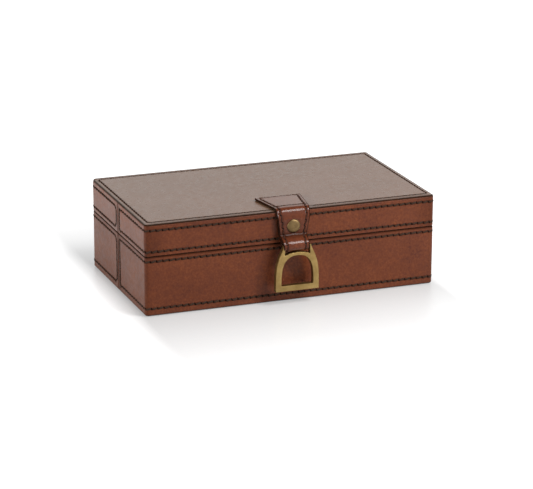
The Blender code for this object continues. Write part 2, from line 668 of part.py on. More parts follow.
strap_level = BOX_HEIGHT + SEAT_GAP + STRAP_HALF
top_path = [(-STRAP_REACH, strap_level), (BEND_CENTRE_OUT, strap_level)]
for step in range(1, BEND_STEPS + 1):
    angle = QUARTER_TURN * (1 - step / BEND_STEPS)
    top_path.append((BEND_CENTRE_OUT + BEND_RADIUS * math.cos(angle),
                     BEND_CENTRE_Z + BEND_RADIUS * math.sin(angle)))
top_path.append((BACK_LAYER_OUT, FLEX_Z))


def bend_half_width(out, height):
    if height < BEND_CENTRE_Z:
        return tab_half_width(height)
    if out < BEND_CENTRE_OUT:
        return top_half_width(out)
    turned = between(out, BEND_CENTRE_OUT, BACK_LAYER_OUT, 0.0, 1.0)
    start = top_half_width(BEND_CENTRE_OUT)
    return start + (tab_half_width(FLEX_Z) - start) * turned


strap_top = add_strip("strap_top", [(out, z, bend_half_width(out, z)) for out, z in top_path],
                      (0.0, FRONT_FACE, BOX_HEIGHT), lid_axis)
flex_hollow = add_cutter("flex_hollow", rod_mesh(FLEX_HOLLOW_RADIUS, BOX_WIDTH * HALF, BAR_SIDES, "X"),
                         (0.0, FRONT_FACE - BACK_LAYER_OUT, FLEX_Z))
cut(strap_top, flex_hollow)
soften(strap_top)

tab_path = [(BACK_LAYER_OUT, FLEX_Z)]
tab_path += eased(tab_path[-1], (0.0, -TAB_TOP_PULL), (FRONT_LAYER_OUT, RIVET_FLAT_TOP),
                  (0.0, -TAB_TOP_PULL), TAB_TOP_STEPS)
tab_path.append((FRONT_LAYER_OUT, RIVET_FLAT_BOTTOM))
tab_path += eased(tab_path[-1], (0.0, -FOLD_CREASE_PULL), (BAR_OUT + LOOP_RADIUS, BAR_Z),
                  (0.0, -FOLD_SHOULDER_PULL), FOLD_STEPS)
for step in range(1, LOOP_STEPS + 1):
    angle = -HALF_TURN * step / LOOP_STEPS
    tab_path.append((BAR_OUT + LOOP_RADIUS * math.cos(angle), BAR_Z + LOOP_RADIUS * math.sin(angle)))
tab_path += eased(tab_path[-1], (0.0, FOLD_CREASE_PULL), (BACK_LAYER_OUT, BACK_LAYER_BOTTOM),
                  (0.0, FOLD_CREASE_PULL), FOLD_STEPS)
tab_path.append((BACK_LAYER_OUT, BACK_LAYER_TOP))

flex_place = (0.0, FRONT_FACE - BACK_LAYER_OUT, FLEX_Z)
strap_tab = add_strip("strap_tab", [(out, z, tab_half_width(z)) for out, z in tab_path], flex_place,
                      strap_axis)
flex_end_length = (tab_half_width(FLEX_Z) - SOFT_EDGE) * 2
flex_end_radius = STRAP_HALF - SOFT_EDGE * HALF
flex_end = add_cutter("flex_end", rod_mesh(flex_end_radius, flex_end_length, BAR_SIDES, "X"), flex_place)
soften(strap_tab)
cut(strap_tab, flex_end, "UNION")
rivet_bore = add_cutter("rivet_bore",
                        rod_mesh(RIVET_SHANK_RADIUS + SEAT_GAP, FRONT_LAYER_OUT * 4, ROUND_SIDES, "Y"),
                        (0.0, FRONT_FACE - FRONT_LAYER_OUT, RIVET_HEIGHT))
tail_depth = RIVET_TAIL_HEIGHT + SEAT_GAP
tail_bore = add_cutter("tail_bore",
                       rod_mesh(RIVET_TAIL_RADIUS + SEAT_GAP, tail_depth * 2, ROUND_SIDES, "Y"),
                       (0.0, FRONT_FACE - SEAT_GAP, RIVET_HEIGHT))
cut(strap_tab, rivet_bore)
cut(strap_tab, tail_bore)
smooth(strap_tab)
smooth(strap_top)

head_seat = FRONT_LAYER_OUT + STRAP_HALF + SEAT_GAP
tail_face = SEAT_GAP
tail_inner = tail_face + RIVET_TAIL_HEIGHT
crown = head_seat + RIVET_HEAD_RIM + RIVET_HEAD_RISE
turned_object("rivet",
              [(0.0, crown), (RIVET_HEAD_RADIUS * HALF, crown),
               (RIVET_HEAD_RADIUS * (1 - HALF * HALF), crown - RIVET_HEAD_RISE * HALF * HALF),
               (RIVET_HEAD_RADIUS, head_seat + RIVET_HEAD_RIM), (RIVET_HEAD_RADIUS, head_seat),
               (RIVET_SHANK_RADIUS, head_seat), (RIVET_SHANK_RADIUS, tail_inner),
               (RIVET_TAIL_RADIUS, tail_inner), (RIVET_TAIL_RADIUS, tail_face), (0.0, tail_face)],
              (0.0, FRONT_FACE, RIVET_HEIGHT), brass("rivet"), strap_axis, towards_front=True)


# Stirrup. Its outline and its foot opening are one filled flat curve, and the bar joins the two horns.
def smoothed(run):
    """The points of a run with a smooth curve through them. A run that ends on the middle line is level there."""
    before = tuple(2 * p - q for p, q in zip(run[0], run[1]))
    after = tuple(2 * p - q for p, q in zip(run[-1], run[-2]))
    if run[-1][0] == 0:
        after = (-run[-2][0], run[-2][1])
    points = [before, *run, after]
    made = [run[0]]
    for first, start, end, last in zip(points, points[1:], points[2:], points[3:]):
        start_pull = tuple((e - f) * HALF for e, f in zip(end, first))
        end_pull = tuple((n - s) * HALF for n, s in zip(last, start))
        made += eased(start, start_pull, end, end_pull, OUTLINE_STEPS)
    return made


def mirrored(*runs):
    """The closed outline of which these smoothed runs, end to end, are the right half."""
    half = []
    for run in runs:
        points = smoothed(run)
        half += points[1:] if half and half[-1] == points[0] else points
    right = [(x * STIRRUP_HALF_WIDTH, z * STIRRUP_HEIGHT) for x, z in half]
    left = [(-x, z) for x, z in reversed(right) if x != 0]
    return right + left


def flat_curve(name, outlines):
    curve = bpy.data.curves.new(name, "CURVE")
    curve.dimensions = "2D"
    curve.fill_mode = "BOTH"
    curve.extrude = STIRRUP_THICKNESS * HALF - STIRRUP_EDGE
    curve.bevel_depth = STIRRUP_EDGE
    curve.bevel_resolution = 1
    curve.offset = -STIRRUP_EDGE
    for outline in outlines:
        spline = curve.splines.new("POLY")
        spline.points.add(len(outline) - 1)
        for point, (x, z) in zip(spline.points, outline):
            point.co = (x, z - STIRRUP_HEIGHT + BAR_BELOW_TOP, 0.0, 1.0)
        spline.use_cyclic_u = True
    source = bpy.data.objects.new(name, curve)
    mesh = bpy.data.meshes.new_from_object(source)
    bpy.data.objects.remove(source)
    bm = bmesh.new()
    bm.from_mesh(mesh)
    bmesh.ops.remove_doubles(bm, verts=bm.verts, dist=MM * MM)
    bmesh.ops.rotate(bm, matrix=Matrix.Rotation(QUARTER_TURN, 3, "X"), verts=bm.verts)
    return mesh_from(bm, name)


stirrup_outline = mirrored(STIRRUP_OUTER_SHARES, STIRRUP_SLOT_WALL_SHARES, STIRRUP_SLOT_FLOOR_SHARES)
opening_outline = mirrored(STIRRUP_OPENING_SHARES)
bar_place = (0.0, FRONT_FACE - BAR_OUT, BAR_Z)
stirrup = add_piece("stirrup", flat_curve("stirrup", [stirrup_outline, opening_outline]), bar_place,
                    brass("stirrup"), stirrup_axis)
bar = add_cutter("stirrup_bar", rod_mesh(BAR_RADIUS, BAR_HALF_LENGTH * 2, BAR_SIDES, "X"), bar_place)
cut(stirrup, bar, "UNION")
smooth(stirrup)
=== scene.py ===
# %% [markdown]
# # A leather covered keepsake box, dressed around its CAD frame
#
# The box is a low chest for papers: boards covered in brown hide, a hinged lid, and a strap that
# folds over the lid's front edge and carries a brass stirrup as its pull. The CAD model holds every
# solid piece and the joints. This lesson gives the visible pieces their leather, thread and metal.
#
# We load the CAD model first, because each piece below is placed by its numbers.

# %% Load the frame
import json
import math

import bmesh
import bpy
import numpy as np
from mathutils import Matrix, Vector


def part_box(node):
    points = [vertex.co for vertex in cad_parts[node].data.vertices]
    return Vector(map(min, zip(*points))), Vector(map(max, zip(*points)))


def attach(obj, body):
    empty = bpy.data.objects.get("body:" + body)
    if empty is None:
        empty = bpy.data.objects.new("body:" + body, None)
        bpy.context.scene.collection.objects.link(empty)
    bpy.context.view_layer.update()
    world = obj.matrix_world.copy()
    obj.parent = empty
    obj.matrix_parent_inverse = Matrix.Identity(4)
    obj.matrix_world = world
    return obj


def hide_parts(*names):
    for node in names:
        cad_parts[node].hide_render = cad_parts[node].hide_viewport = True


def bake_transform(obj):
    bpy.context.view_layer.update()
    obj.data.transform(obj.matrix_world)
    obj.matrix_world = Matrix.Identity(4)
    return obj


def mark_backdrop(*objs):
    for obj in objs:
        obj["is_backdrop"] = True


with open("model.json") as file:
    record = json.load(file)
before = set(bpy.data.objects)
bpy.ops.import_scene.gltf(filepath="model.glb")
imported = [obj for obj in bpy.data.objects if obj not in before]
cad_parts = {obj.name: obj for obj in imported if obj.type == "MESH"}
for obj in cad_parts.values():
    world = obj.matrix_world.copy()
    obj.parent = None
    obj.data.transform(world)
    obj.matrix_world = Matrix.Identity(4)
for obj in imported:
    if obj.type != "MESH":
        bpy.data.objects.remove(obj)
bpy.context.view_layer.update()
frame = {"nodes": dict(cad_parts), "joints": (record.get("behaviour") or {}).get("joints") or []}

MM = 0.001

# %% [markdown]
# ## Colours and nodes
#
# A colour is easiest to note down as the hex value that a painter or a web page would use. Blender
# works in linear light, so one function converts it. A second small function adds a shader node with
# its settings and its links, and the others name the nodes that every material below needs.

# %% Colour and node helpers
def linear(hex_colour):
    """sRGB hex to linear: a low channel is divided by 12.92, a higher one is raised to the power 2.4."""
    channels = np.array([int(hex_colour[i:i + 2], 16) for i in (1, 3, 5)]) / 255
    low = channels / 12.92
    high = ((channels + 0.055) / 1.055) ** 2.4
    return (*np.where(channels <= 0.04045, low, high).tolist(), 1.0)


def plug(tree, node, values=None, links=None):
    """Values set on a node's inputs, and links made into them."""
    for key, value in (values or {}).items():
        node.inputs[key].default_value = value
    for key, socket in (links or {}).items():
        tree.links.new(socket, node.inputs[key])
    return node


def add_node(tree, kind, values=None, links=None, **settings):
    """A new shader node of that kind, with its settings, values and links."""
    node = tree.nodes.new("ShaderNode" + kind)
    for key, value in settings.items():
        setattr(node, key, value)
    return plug(tree, node, values, links)


def noise(tree, place, size, detail=2.0, roughness=0.5):
    """Noise whose patches have that real size."""
    values = {"Scale": 1 / size, "Detail": detail, "Roughness": roughness}
    return add_node(tree, "TexNoise", values, {"Vector": place}).outputs["Fac"]


def mix(tree, share, a, b):
    """Two patterns in one: the second has that share."""
    return add_node(tree, "Mix", {"Factor": share}, {"A": a, "B": b}).outputs["Result"]


def remap(tree, value, low, high, start=0.3, end=0.7):
    """A value's run from start to end, stretched to run from low to high."""
    values = {"From Min": start, "From Max": end, "To Min": low, "To Max": high}
    return add_node(tree, "MapRange", values, {"Value": value}).outputs["Result"]


def ramp(tree, value, dark, light, start=0.0, end=1.0, middle=None):
    """A colour that runs from dark to light with the value, through a middle one if it is given."""
    node = add_node(tree, "ValToRGB", links={"Fac": value})
    stops = node.color_ramp.elements
    stops[0].position, stops[0].color = start, linear(dark)
    stops[1].position, stops[1].color = end, linear(light)
    if middle:
        stops.new(0.5).color = linear(middle)
    return node.outputs["Color"]


def relief(tree, height, strength, depth, invert=False):
    """A normal that shows a height pattern as relief of that depth."""
    values = {"Strength": strength, "Distance": depth}
    return add_node(tree, "Bump", values, {"Height": height}, invert=invert).outputs["Normal"]


def new_material(name):
    """A new node material, its tree, its Principled shader and the place of a point in its object."""
    material = bpy.data.materials.new(name)
    material.use_nodes = True
    tree = material.node_tree
    place = add_node(tree, "TexCoord").outputs["Object"]
    return material, tree, tree.nodes["Principled BSDF"], place


print("helpers ready, test colour:", [round(c, 3) for c in linear("#6F3F2D")[:3]])

# %% [markdown]
# ## Leather
#
# Vegetable tanned hide is dyed, waxed and polished. Its dye takes unevenly, so the colour drifts over
# a few centimetres and is mottled at a few millimetres, and the grain is a net of small pebbles about
# a millimetre across. Where the maker burnished or sewed it, it turns nearly black. We mix three sizes
# of noise for the dye, read an attribute for the dark places, and drive the bump with a cell pattern.
# That attribute holds the burnished places and also painted shade: beside the parting gap, down the
# corners, towards the foot of the ends, along the top's front border and in the strap's crease. The
# wax on top is the shader's coat, and an attribute named polished adds to it where sleeves have rubbed
# the hide bright. The burnished and shaded places have lost nearly all of their gloss.

# %% Leather material
DRIFT_SIZE = 34 * MM
MOTTLE_SIZE = 4.5 * MM
PORE_SIZE = 1.8 * MM
PEBBLE_SIZE = 1.1 * MM
FINE_SIZE = 0.5 * MM
GRAIN_DEPTH = 0.18 * MM
POLISH_COAT = 0.42
BURNISH_AND_SHADE_COAT, BURNISH_AND_SHADE_GLOSS = 0.15, 0.03
HIDE_FINISH = {"IOR": 1.48, "Sheen Weight": 0.15, "Sheen Roughness": 0.35, "Sheen Tint": linear("#FFEFC0")}


def leather(name, dark, middle, light, burnish_and_shade_colour, roughness, gloss, coat=0.0, coat_roughness=0.3, bump=0.5):
    """Hide with its dye in three sizes of noise, dark where it is burnished and where shade is painted,
    under wax and grain.
    """
    material, tree, shader, place = new_material(name)
    mottle = noise(tree, place, MOTTLE_SIZE, 4.0, 0.6)
    dye = mix(tree, 0.45, noise(tree, place, DRIFT_SIZE), mottle)
    dye = mix(tree, 0.42, dye, noise(tree, place, PORE_SIZE))
    # The dark places read here are burnished ones and painted shade.
    burnish_and_shade = add_node(tree, "Attribute", attribute_name="burnish_and_shade").outputs["Fac"]
    uneven = add_node(tree, "Math", links={0: burnish_and_shade, 1: remap(tree, mottle, 0.7, 1.0)},
                      operation="MULTIPLY")
    tint = add_node(tree, "Mix", {"B": linear(burnish_and_shade_colour)}, {"Factor": uneven.outputs["Value"],
                    "A": ramp(tree, dye, dark, light, 0.34, 0.66, middle)}, data_type="RGBA")
    cells = add_node(tree, "TexVoronoi", {"Scale": 1 / PEBBLE_SIZE, "Randomness": 0.9}, {"Vector": place},
                     feature="SMOOTH_F1")
    grain = mix(tree, 0.35, cells.outputs["Distance"], noise(tree, place, FINE_SIZE))
    polished = add_node(tree, "Attribute", attribute_name="polished").outputs["Fac"]
    waxed = remap(tree, burnish_and_shade, coat, coat * BURNISH_AND_SHADE_COAT, 0.0, 1.0)
    polish = add_node(tree, "Math", {1: POLISH_COAT}, {0: polished, 2: waxed}, operation="MULTIPLY_ADD")
    plug(tree, shader, {"Coat Roughness": coat_roughness, **HIDE_FINISH}, {
        "Base Color": tint.outputs["Result"],
        "Roughness": remap(tree, mottle, roughness - 0.06, roughness + 0.08),
        "Normal": relief(tree, grain, bump, GRAIN_DEPTH, invert=True),
        "Coat Weight": polish.outputs["Value"],
        "Specular IOR Level": remap(tree, burnish_and_shade, gloss, gloss * BURNISH_AND_SHADE_GLOSS, 0.0, 1.0)})
    print("leather:", name)
    return material


wrap_leather = leather("waxed_hide", "#562614", "#69331A", "#7D4123", "#1A0D08",
                       roughness=0.44, gloss=0.25)
top_leather = leather("polished_hide", "#5E3925", "#67402A", "#6D4530", "#1E120C",
                      roughness=0.3, gloss=0.7, coat_roughness=0.2, bump=0.008)
strap_leather = leather("oiled_strap_hide", "#522614", "#653019", "#763D23", "#1E0E08",
                        roughness=0.5, gloss=0.05, coat=0.35, coat_roughness=0.14, bump=0.1)
under_leather = leather("plain_underside_hide", "#3A2018", "#472A1F", "#533225", "#20110C",
                        roughness=0.7, gloss=0.3, coat_roughness=0.5)

# %% [markdown]
# ## Thread, suede, board and brass
#
# The thread is waxed linen, almost black brown, laid in slanting stitches. Suede is the flesh side of
# a split hide: dull, with short fibres that catch light at a glancing angle, which is what sheen is
# for. The boards are raw fibre board. Old brass is a satin metal with darker, browner patches where
# hands don't polish it.

# %% Other materials
STRAND_SIZE, FIBRE_SIZE, BRUSHED_SIZE = 0.7 * MM, 0.6 * MM, 18 * MM
CHIP_SIZE, TARNISH_SIZE, SCUFF_SIZE = 0.9 * MM, 7 * MM, 1.1 * MM


def waxed_thread(name, dark, light):
    """Dull thread whose colour changes from strand to strand."""
    material, tree, shader, place = new_material(name)
    colour = ramp(tree, noise(tree, place, STRAND_SIZE), dark, light)
    plug(tree, shader, {"Roughness": 0.8, "Specular IOR Level": 0.06}, {"Base Color": colour})
    return material


def suede():
    """Fine fibres over broad brushed patches."""
    material, tree, shader, place = new_material("split_hide_suede")
    fibres = noise(tree, place, FIBRE_SIZE)
    nap = mix(tree, 0.4, noise(tree, place, BRUSHED_SIZE, 3.0), fibres)
    plug(tree, shader, {"Roughness": 0.92, "Sheen Weight": 0.35, "Sheen Roughness": 0.5}, {
        "Base Color": ramp(tree, nap, "#5E4230", "#7F5F48", 0.35, 0.65),
        "Normal": relief(tree, fibres, 0.6, 0.15 * MM)})
    return material


def fibre_board():
    """Pale and brown chips, pressed."""
    material, tree, shader, place = new_material("raw_fibre_board")
    colour = ramp(tree, noise(tree, place, CHIP_SIZE, 3.0), "#8A6B48", "#BC9A70")
    plug(tree, shader, {"Roughness": 0.8}, {"Base Color": colour})
    return material


def old_brass(name, dark, light, roughness):
    """Satin metal with tarnished patches and small scuffs."""
    material, tree, shader, place = new_material(name)
    scuffs = noise(tree, place, SCUFF_SIZE, 3.0)
    plug(tree, shader, {"Metallic": 1.0}, {
        "Base Color": ramp(tree, noise(tree, place, TARNISH_SIZE, 4.0), dark, light, 0.3, 0.65),
        "Roughness": remap(tree, scuffs, roughness - 0.07, roughness + 0.1),
        "Normal": relief(tree, scuffs, 0.25, 0.05 * MM)})
    return material


strap_thread_material = waxed_thread("worn_strap_thread", "#33201A", "#4E3228")
thread_material = waxed_thread("waxed_linen_thread", "#34251E", "#4E3C31")
# Near black: painted shade in the awl holes.
hole_shade_material = waxed_thread("awl_hole_painted_shade", "#180D08", "#281811")
suede_material = suede()
board_material = fibre_board()
brass_material = old_brass("satin_antique_brass", "#846C42", "#957D4F", 0.44)
rivet_brass = old_brass("tarnished_rivet_brass", "#604D33", "#705C3E", 0.42)
bright_brass = old_brass("polished_hinge_brass", "#9A7B42", "#C9AC6E", 0.3)
print("materials:", len(bpy.data.materials))

# %% [markdown]
# ## Meshes from grids
#
# Every new piece is a grid of points: rows run along the piece and columns run round its section.
# numpy works out all the points at once. This function joins them with quads, closes the section and
# the ends, merges points that fall together, and turns the faces outwards where the enclosed volume
# comes out negative.

# %% Grid to mesh
def grid_faces(rows, columns, closed_rows, closed_columns):
    """Corner numbers of a grid's quads: each point, the next in its row, and the two in the next row."""
    last_row = rows if closed_rows else rows - 1
    last_column = columns if closed_columns else columns - 1
    i, j = np.meshgrid(np.arange(last_row), np.arange(last_column), indexing="ij")
    here, right = i * columns + j, i * columns + (j + 1) % columns
    below, across = ((i + 1) % rows) * columns + j, ((i + 1) % rows) * columns + (j + 1) % columns
    return np.stack([here, right, across, below], -1).reshape(-1, 4)


def signed_volume(mesh):
    """A sixth of the sum of the triangles' triple products: positive if the faces look outwards."""
    mesh.calc_loop_triangles()
    corners = np.empty(len(mesh.loop_triangles) * 3, np.int32)
    mesh.loop_triangles.foreach_get("vertices", corners)
    places = np.empty(len(mesh.vertices) * 3)
    mesh.vertices.foreach_get("co", places)
    a, b, c = places.reshape(-1, 3)[corners.reshape(-1, 3)].transpose(1, 0, 2)
    return float(np.einsum("ij,ij->i", a, np.cross(b, c)).sum() / 6)


def open_edges(mesh):
    """How many edges don't have exactly two faces, which is none on a closed skin."""
    numbers = np.empty(len(mesh.loops), np.int32)
    mesh.loops.foreach_get("edge_index", numbers)
    return int((np.bincount(numbers, minlength=len(mesh.edges)) != 2).sum())


def add_object(name, data):
    """A new object in the scene."""
    obj = bpy.data.objects.new(name, data)
    bpy.context.scene.collection.objects.link(obj)
    return obj


def add_skin(name, mesh, material, merge=0.002 * MM, sharp_angle=50.0):
    """The mesh as a closed skin: points merged, faces turned outwards, and smooth but for sharp edges."""
    work = bmesh.new()
    work.from_mesh(mesh)
    bmesh.ops.remove_doubles(work, verts=work.verts, dist=merge)
    work.to_mesh(mesh)
    work.free()
    if signed_volume(mesh) < 0:
        mesh.flip_normals()
    mesh.shade_smooth()
    mesh.set_sharp_from_angle(angle=math.radians(sharp_angle))
    mesh.materials.append(material)
    print(f"{name}: {len(mesh.polygons)} faces, {open_edges(mesh)} open edges,",
          f"{signed_volume(mesh) * 1e9:.0f} mm3")
    return add_object(name, mesh)


def add_mesh(name, points, faces, material, attributes=None, **more):
    """A skin from points and faces, with one number for each point in each attribute."""
    mesh = bpy.data.meshes.new(name)
    mesh.from_pydata(points.reshape(-1, 3).tolist(), [], faces)
    for key, values in (attributes or {}).items():
        layer = mesh.attributes.new(key, "FLOAT", "POINT")
        layer.data.foreach_set("value", values.reshape(-1).astype(np.float32))
    return add_skin(name, mesh, material, **more)


def add_grid(name, points, material, closed_rows=False, closed_columns=True, caps=True, **more):
    """A skin from a grid, with a face over the first row and one over the last where it has ends."""
    rows, columns = points.shape[:2]
    faces = grid_faces(rows, columns, closed_rows, closed_columns).tolist()
    if caps and not closed_rows:
        faces += [list(range(columns))[::-1], [(rows - 1) * columns + j for j in range(columns)]]
    return add_mesh(name, points, faces, material, **more)


# %% [markdown]
# ## The box's outline
#
# Seen from above, the box is a rectangle with rounded corners. A wrap of leather runs half way round
# it. We describe a place on the wall by the distance s along the outline, the height z, and the depth
# d below the surface. Inside the corner radius the depth runs along the radius. Deeper than that the
# outline is a plain smaller rectangle, so the place is clamped to it and the rows meet in a mitre.
# The padded hide stands a little proud of the solid, and PLUMP says how much at the ends and on top.

# %% Outline of the box
top_corner = np.array(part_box("lid_top_leather")[1])
shell_z, rim_z = (corner.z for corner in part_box("base_front_leather"))
lid_rim_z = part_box("lid_front_leather")[0].z
PLUMP = np.array([0.7, 0.0, 0.8]) * MM
HALF_X, HALF_Y, TOP_Z = (top_corner + PLUMP).tolist()
CORNER = 3.5 * MM
SEAM_HALF_GAP = 0.15 * MM
side_run = HALF_Y - CORNER - SEAM_HALF_GAP
arc_run = CORNER * math.pi / 2
front_run = 2 * (HALF_X - CORNER)
HALF_RUN = 2 * side_run + 2 * arc_run + front_run
print(f"half outline {HALF_RUN / MM:.1f} mm, rims at {rim_z / MM:.2f} and {lid_rim_z / MM:.2f} mm")


def half_outline(s):
    """Skeleton point and outward direction at distance s along the front half of the outline.

    The run is made of five parts: left side, corner, front, corner, right side. The skeleton lies one
    corner radius inside the wall, so on a corner it stands still while the direction turns.
    """
    edges = np.cumsum([side_run, arc_run, front_run, arc_run])
    first = np.clip(s - edges[0], 0, arc_run) / CORNER
    second = np.clip(s - edges[2], 0, arc_run) / CORNER
    along = np.clip(s - edges[1], 0, front_run)
    down = np.clip(s, 0, side_run)
    up = np.maximum(s - edges[3], 0)
    skeleton = np.stack([CORNER - HALF_X + along, -SEAM_HALF_GAP - down + up], -1)
    turn = first + second
    direction = np.stack([-np.cos(turn), -np.sin(turn)], -1)
    return skeleton, direction


def at_depth(skeleton, direction, d):
    """Points d below the wall: along the direction down to the corner radius, and clamped beyond it."""
    d = np.asarray(d)[..., None]
    near = skeleton + direction * (CORNER - d)
    limit = np.array([HALF_X, HALF_Y]) - d
    deep = np.clip(skeleton, -limit, limit)
    return np.where(d <= CORNER, near, deep)


# %% [markdown]
# ## Where the stitches run
#
# Each wrap is sewn along all four of its edges, so the row is a rectangle with round corners on the
# unrolled wall. The distance of a place from that row follows from the signed distance to a rounded
# box: fold the plane into one quarter, measure to the inner box, and subtract the radius.

# %% Stitch rows
PITCH = 5.6 * MM


def row_distance(a, b, row):
    """Distance from (a, b) to a stitch row, given as (low a, high a, low b, high b, corner radius)."""
    a0, a1, b0, b1, radius = row
    qa = np.abs(a - (a0 + a1) / 2) - (a1 - a0) / 2 + radius
    qb = np.abs(b - (b0 + b1) / 2) - (b1 - b0) / 2 + radius
    outside = np.hypot(np.maximum(qa, 0), np.maximum(qb, 0))
    return np.abs(outside + np.minimum(np.maximum(qa, qb), 0) - radius)


def running_length(line):
    """Distance along the line from its start to each of its points."""
    return np.concatenate([[0], np.cumsum(np.hypot(*np.diff(line, axis=0).T))])


def read_off(at, reach, line):
    """The places on a line at those running lengths."""
    return np.stack([np.interp(at, reach, line[:, k]) for k in (0, 1)], -1)


def row_places(row):
    """Centres and angles of stitches laid end to end round a row.

    The row is sampled finely as four straight runs and four quarter circles, its length is divided by
    the nearest whole number of stitches, and each centre and angle is read off at equal distances.
    """
    a0, a1, b0, b1, radius = row
    t = np.linspace(0, math.pi / 2, 13)
    corners = []
    for ca, cb, start in ((a1 - radius, b0 + radius, -1), (a1 - radius, b1 - radius, 0),
                          (a0 + radius, b1 - radius, 1), (a0 + radius, b0 + radius, 2)):
        angle = t + start * math.pi / 2
        corners.append(np.stack([ca + radius * np.cos(angle), cb + radius * np.sin(angle)], -1))
    line = np.concatenate([*corners, corners[0][:1]])
    reach = running_length(line)
    count = round(reach[-1] / PITCH)
    middle = (np.arange(count) + 0.5) * reach[-1] / count
    centre = read_off(middle, reach, line)
    ahead = read_off(middle + 0.2 * MM, reach, line)
    angle = np.arctan2(*(ahead - centre).T[::-1])
    return centre, angle


SEAM_ROW = 4.4 * MM
LID_ROWS = (57.5 * MM, 76.3 * MM)
BASE_ROWS = (7.0 * MM, 48.9 * MM)
wall_rows = {}
for part, (low, high) in (("lid", LID_ROWS), ("base", BASE_ROWS)):
    for half, bend in (("front", 2.0 * MM), ("rear", 6.0 * MM)):
        wall_rows[part, half] = (SEAM_ROW, HALF_RUN - SEAM_ROW, low, high, bend)
print("stitches on one base wrap:", len(row_places(wall_rows["base", "front"])[0]))

# %% [markdown]
# ## The leather wraps
#
# A wrap is one strip of hide, 1.6 mm thick. It covers the wall, turns over the rim towards the inside
# and, on the base, turns under the box. On the lid it ends in a round shoulder under the top panel's
# painted edge. That is one closed section carried along the outline. The thread pulls the hide down,
# so the wall has a shallow channel along each row, deepest at the middle of every stitch, and the hide
# thins towards its edge at the seam. Two small formulas serve all the pieces that follow: a bell that
# says how near a line is, and a rule that lays dark shades over each other.

# %% Wrap sections
HIDE = 1.6 * MM
RIM_BEND = 0.7 * MM
FOOT_BEND = 2.2 * MM
SHOULDER = 0.5 * MM
PANEL_FOOT = TOP_Z - 1.5 * MM
TURN_OVER = 9.4 * MM
TURN_UNDER = 12.0 * MM


def quarter(centre_d, centre_z, radius, start, end, steps):
    """Points of a circle in the section, from one angle to another, in degrees."""
    angle = np.radians(np.linspace(start, end, steps))
    return np.stack([centre_d + radius * np.cos(angle), centre_z + radius * np.sin(angle)], -1)


def heights(low, high, rows):
    """Heights up the wall: 2 mm apart, and 0.3 mm apart within 2.4 mm of a stitch row."""
    coarse = np.linspace(low, high, round((high - low) / (2 * MM)) + 1)
    near = np.concatenate([row + np.arange(-8, 9) * 0.3 * MM for row in rows])
    near = near[(near > low + 0.2 * MM) & (near < high - 0.2 * MM)]
    far = [z for z in coarse if min(abs(z - row) for row in rows) > 2.6 * MM or z in (low, high)]
    return np.unique(np.round(np.concatenate([far, near]), 7))


def line(start, end, steps):
    """Evenly spaced points of the section between two corners, without the last one."""
    return np.linspace(start, end, steps + 1)[:-1]


def base_section(low, high, rows):
    """Under the box, round the foot, up the wall, over the rim, and back inside the hide's thickness."""
    wall = heights(low + FOOT_BEND, high - RIM_BEND, rows)
    return np.concatenate([
        line((TURN_UNDER, low), (FOOT_BEND, low), 5),
        quarter(FOOT_BEND, low + FOOT_BEND, FOOT_BEND, 270, 180, 7)[:-1],
        np.stack([np.zeros_like(wall), wall], -1),
        quarter(RIM_BEND, high - RIM_BEND, RIM_BEND, 180, 90, 5)[1:],
        line((RIM_BEND + MM, high), (TURN_OVER - 0.3 * MM, high), 4),
        line((TURN_OVER, high - 0.3 * MM), (TURN_OVER, high - HIDE), 2),
        line((TURN_OVER, high - HIDE), (HIDE, high - HIDE), 4),
        line((HIDE, high - HIDE), (HIDE, low + HIDE), 10),
        line((HIDE, low + HIDE), (TURN_UNDER, low + HIDE), 4),
        np.array([[TURN_UNDER, low + HIDE]]),
    ])


def lid_section(low, high, rows):
    """Over the rim, up the wall, round the shoulder, and back inside the hide's thickness."""
    wall = heights(low + RIM_BEND, high - SHOULDER, rows)
    return np.concatenate([
        line((TURN_OVER, low + HIDE), (TURN_OVER, low + 0.3 * MM), 2),
        line((TURN_OVER - 0.3 * MM, low), (RIM_BEND + MM, low), 4),
        quarter(RIM_BEND, low + RIM_BEND, RIM_BEND, 270, 180, 5)[:-1],
        np.stack([np.zeros_like(wall), wall], -1),
        quarter(SHOULDER, high - SHOULDER, SHOULDER, 180, 90, 6)[1:],
        line((HIDE, high), (HIDE, low + HIDE), 8),
        line((HIDE, low + HIDE), (TURN_OVER, low + HIDE), 4),
    ])


base_profile = base_section(shell_z, rim_z, BASE_ROWS)
lid_profile = lid_section(lid_rim_z, PANEL_FOOT - 0.05 * MM, LID_ROWS)
print("section points:", len(base_profile), "on the base,", len(lid_profile), "on the lid")

# %% Wrap surface
CHANNEL = 0.32 * MM
CHANNEL_REACH = 0.85 * MM
SEAM_ROUND = 1.3 * MM
SEAM_FALL = 0.6 * MM
WAVE = 0.05 * MM


def bell(distance, reach, power=2):
    """1 on a line and nearly 0 beyond its reach. A higher power makes a flatter band with steeper sides."""
    return np.exp(-(distance / reach) ** power)


def pull(along):
    """How far the thread pulls the hide down: fully at a stitch's middle, a third less at the holes."""
    return 0.83 + 0.17 * np.cos(2 * math.pi * along / PITCH)


def laid_over(*shades):
    """Dark shades over each other: each one leaves its own share of the light, and the shares multiply."""
    left = 1.0
    for shade in shades:
        left = left * (1 - shade)
    return 1 - left


def stations(step, ends=np.zeros(1)):
    """Distances along the outline: a step apart, closer at the corners, and those ends from both seams."""
    even = np.linspace(0, HALF_RUN, round(HALF_RUN / step) + 1)
    corner = side_run + np.linspace(0, arc_run, 9)
    every = np.concatenate([even, ends, HALF_RUN - ends, corner, HALF_RUN - corner])
    return np.unique(np.round(every, 6))


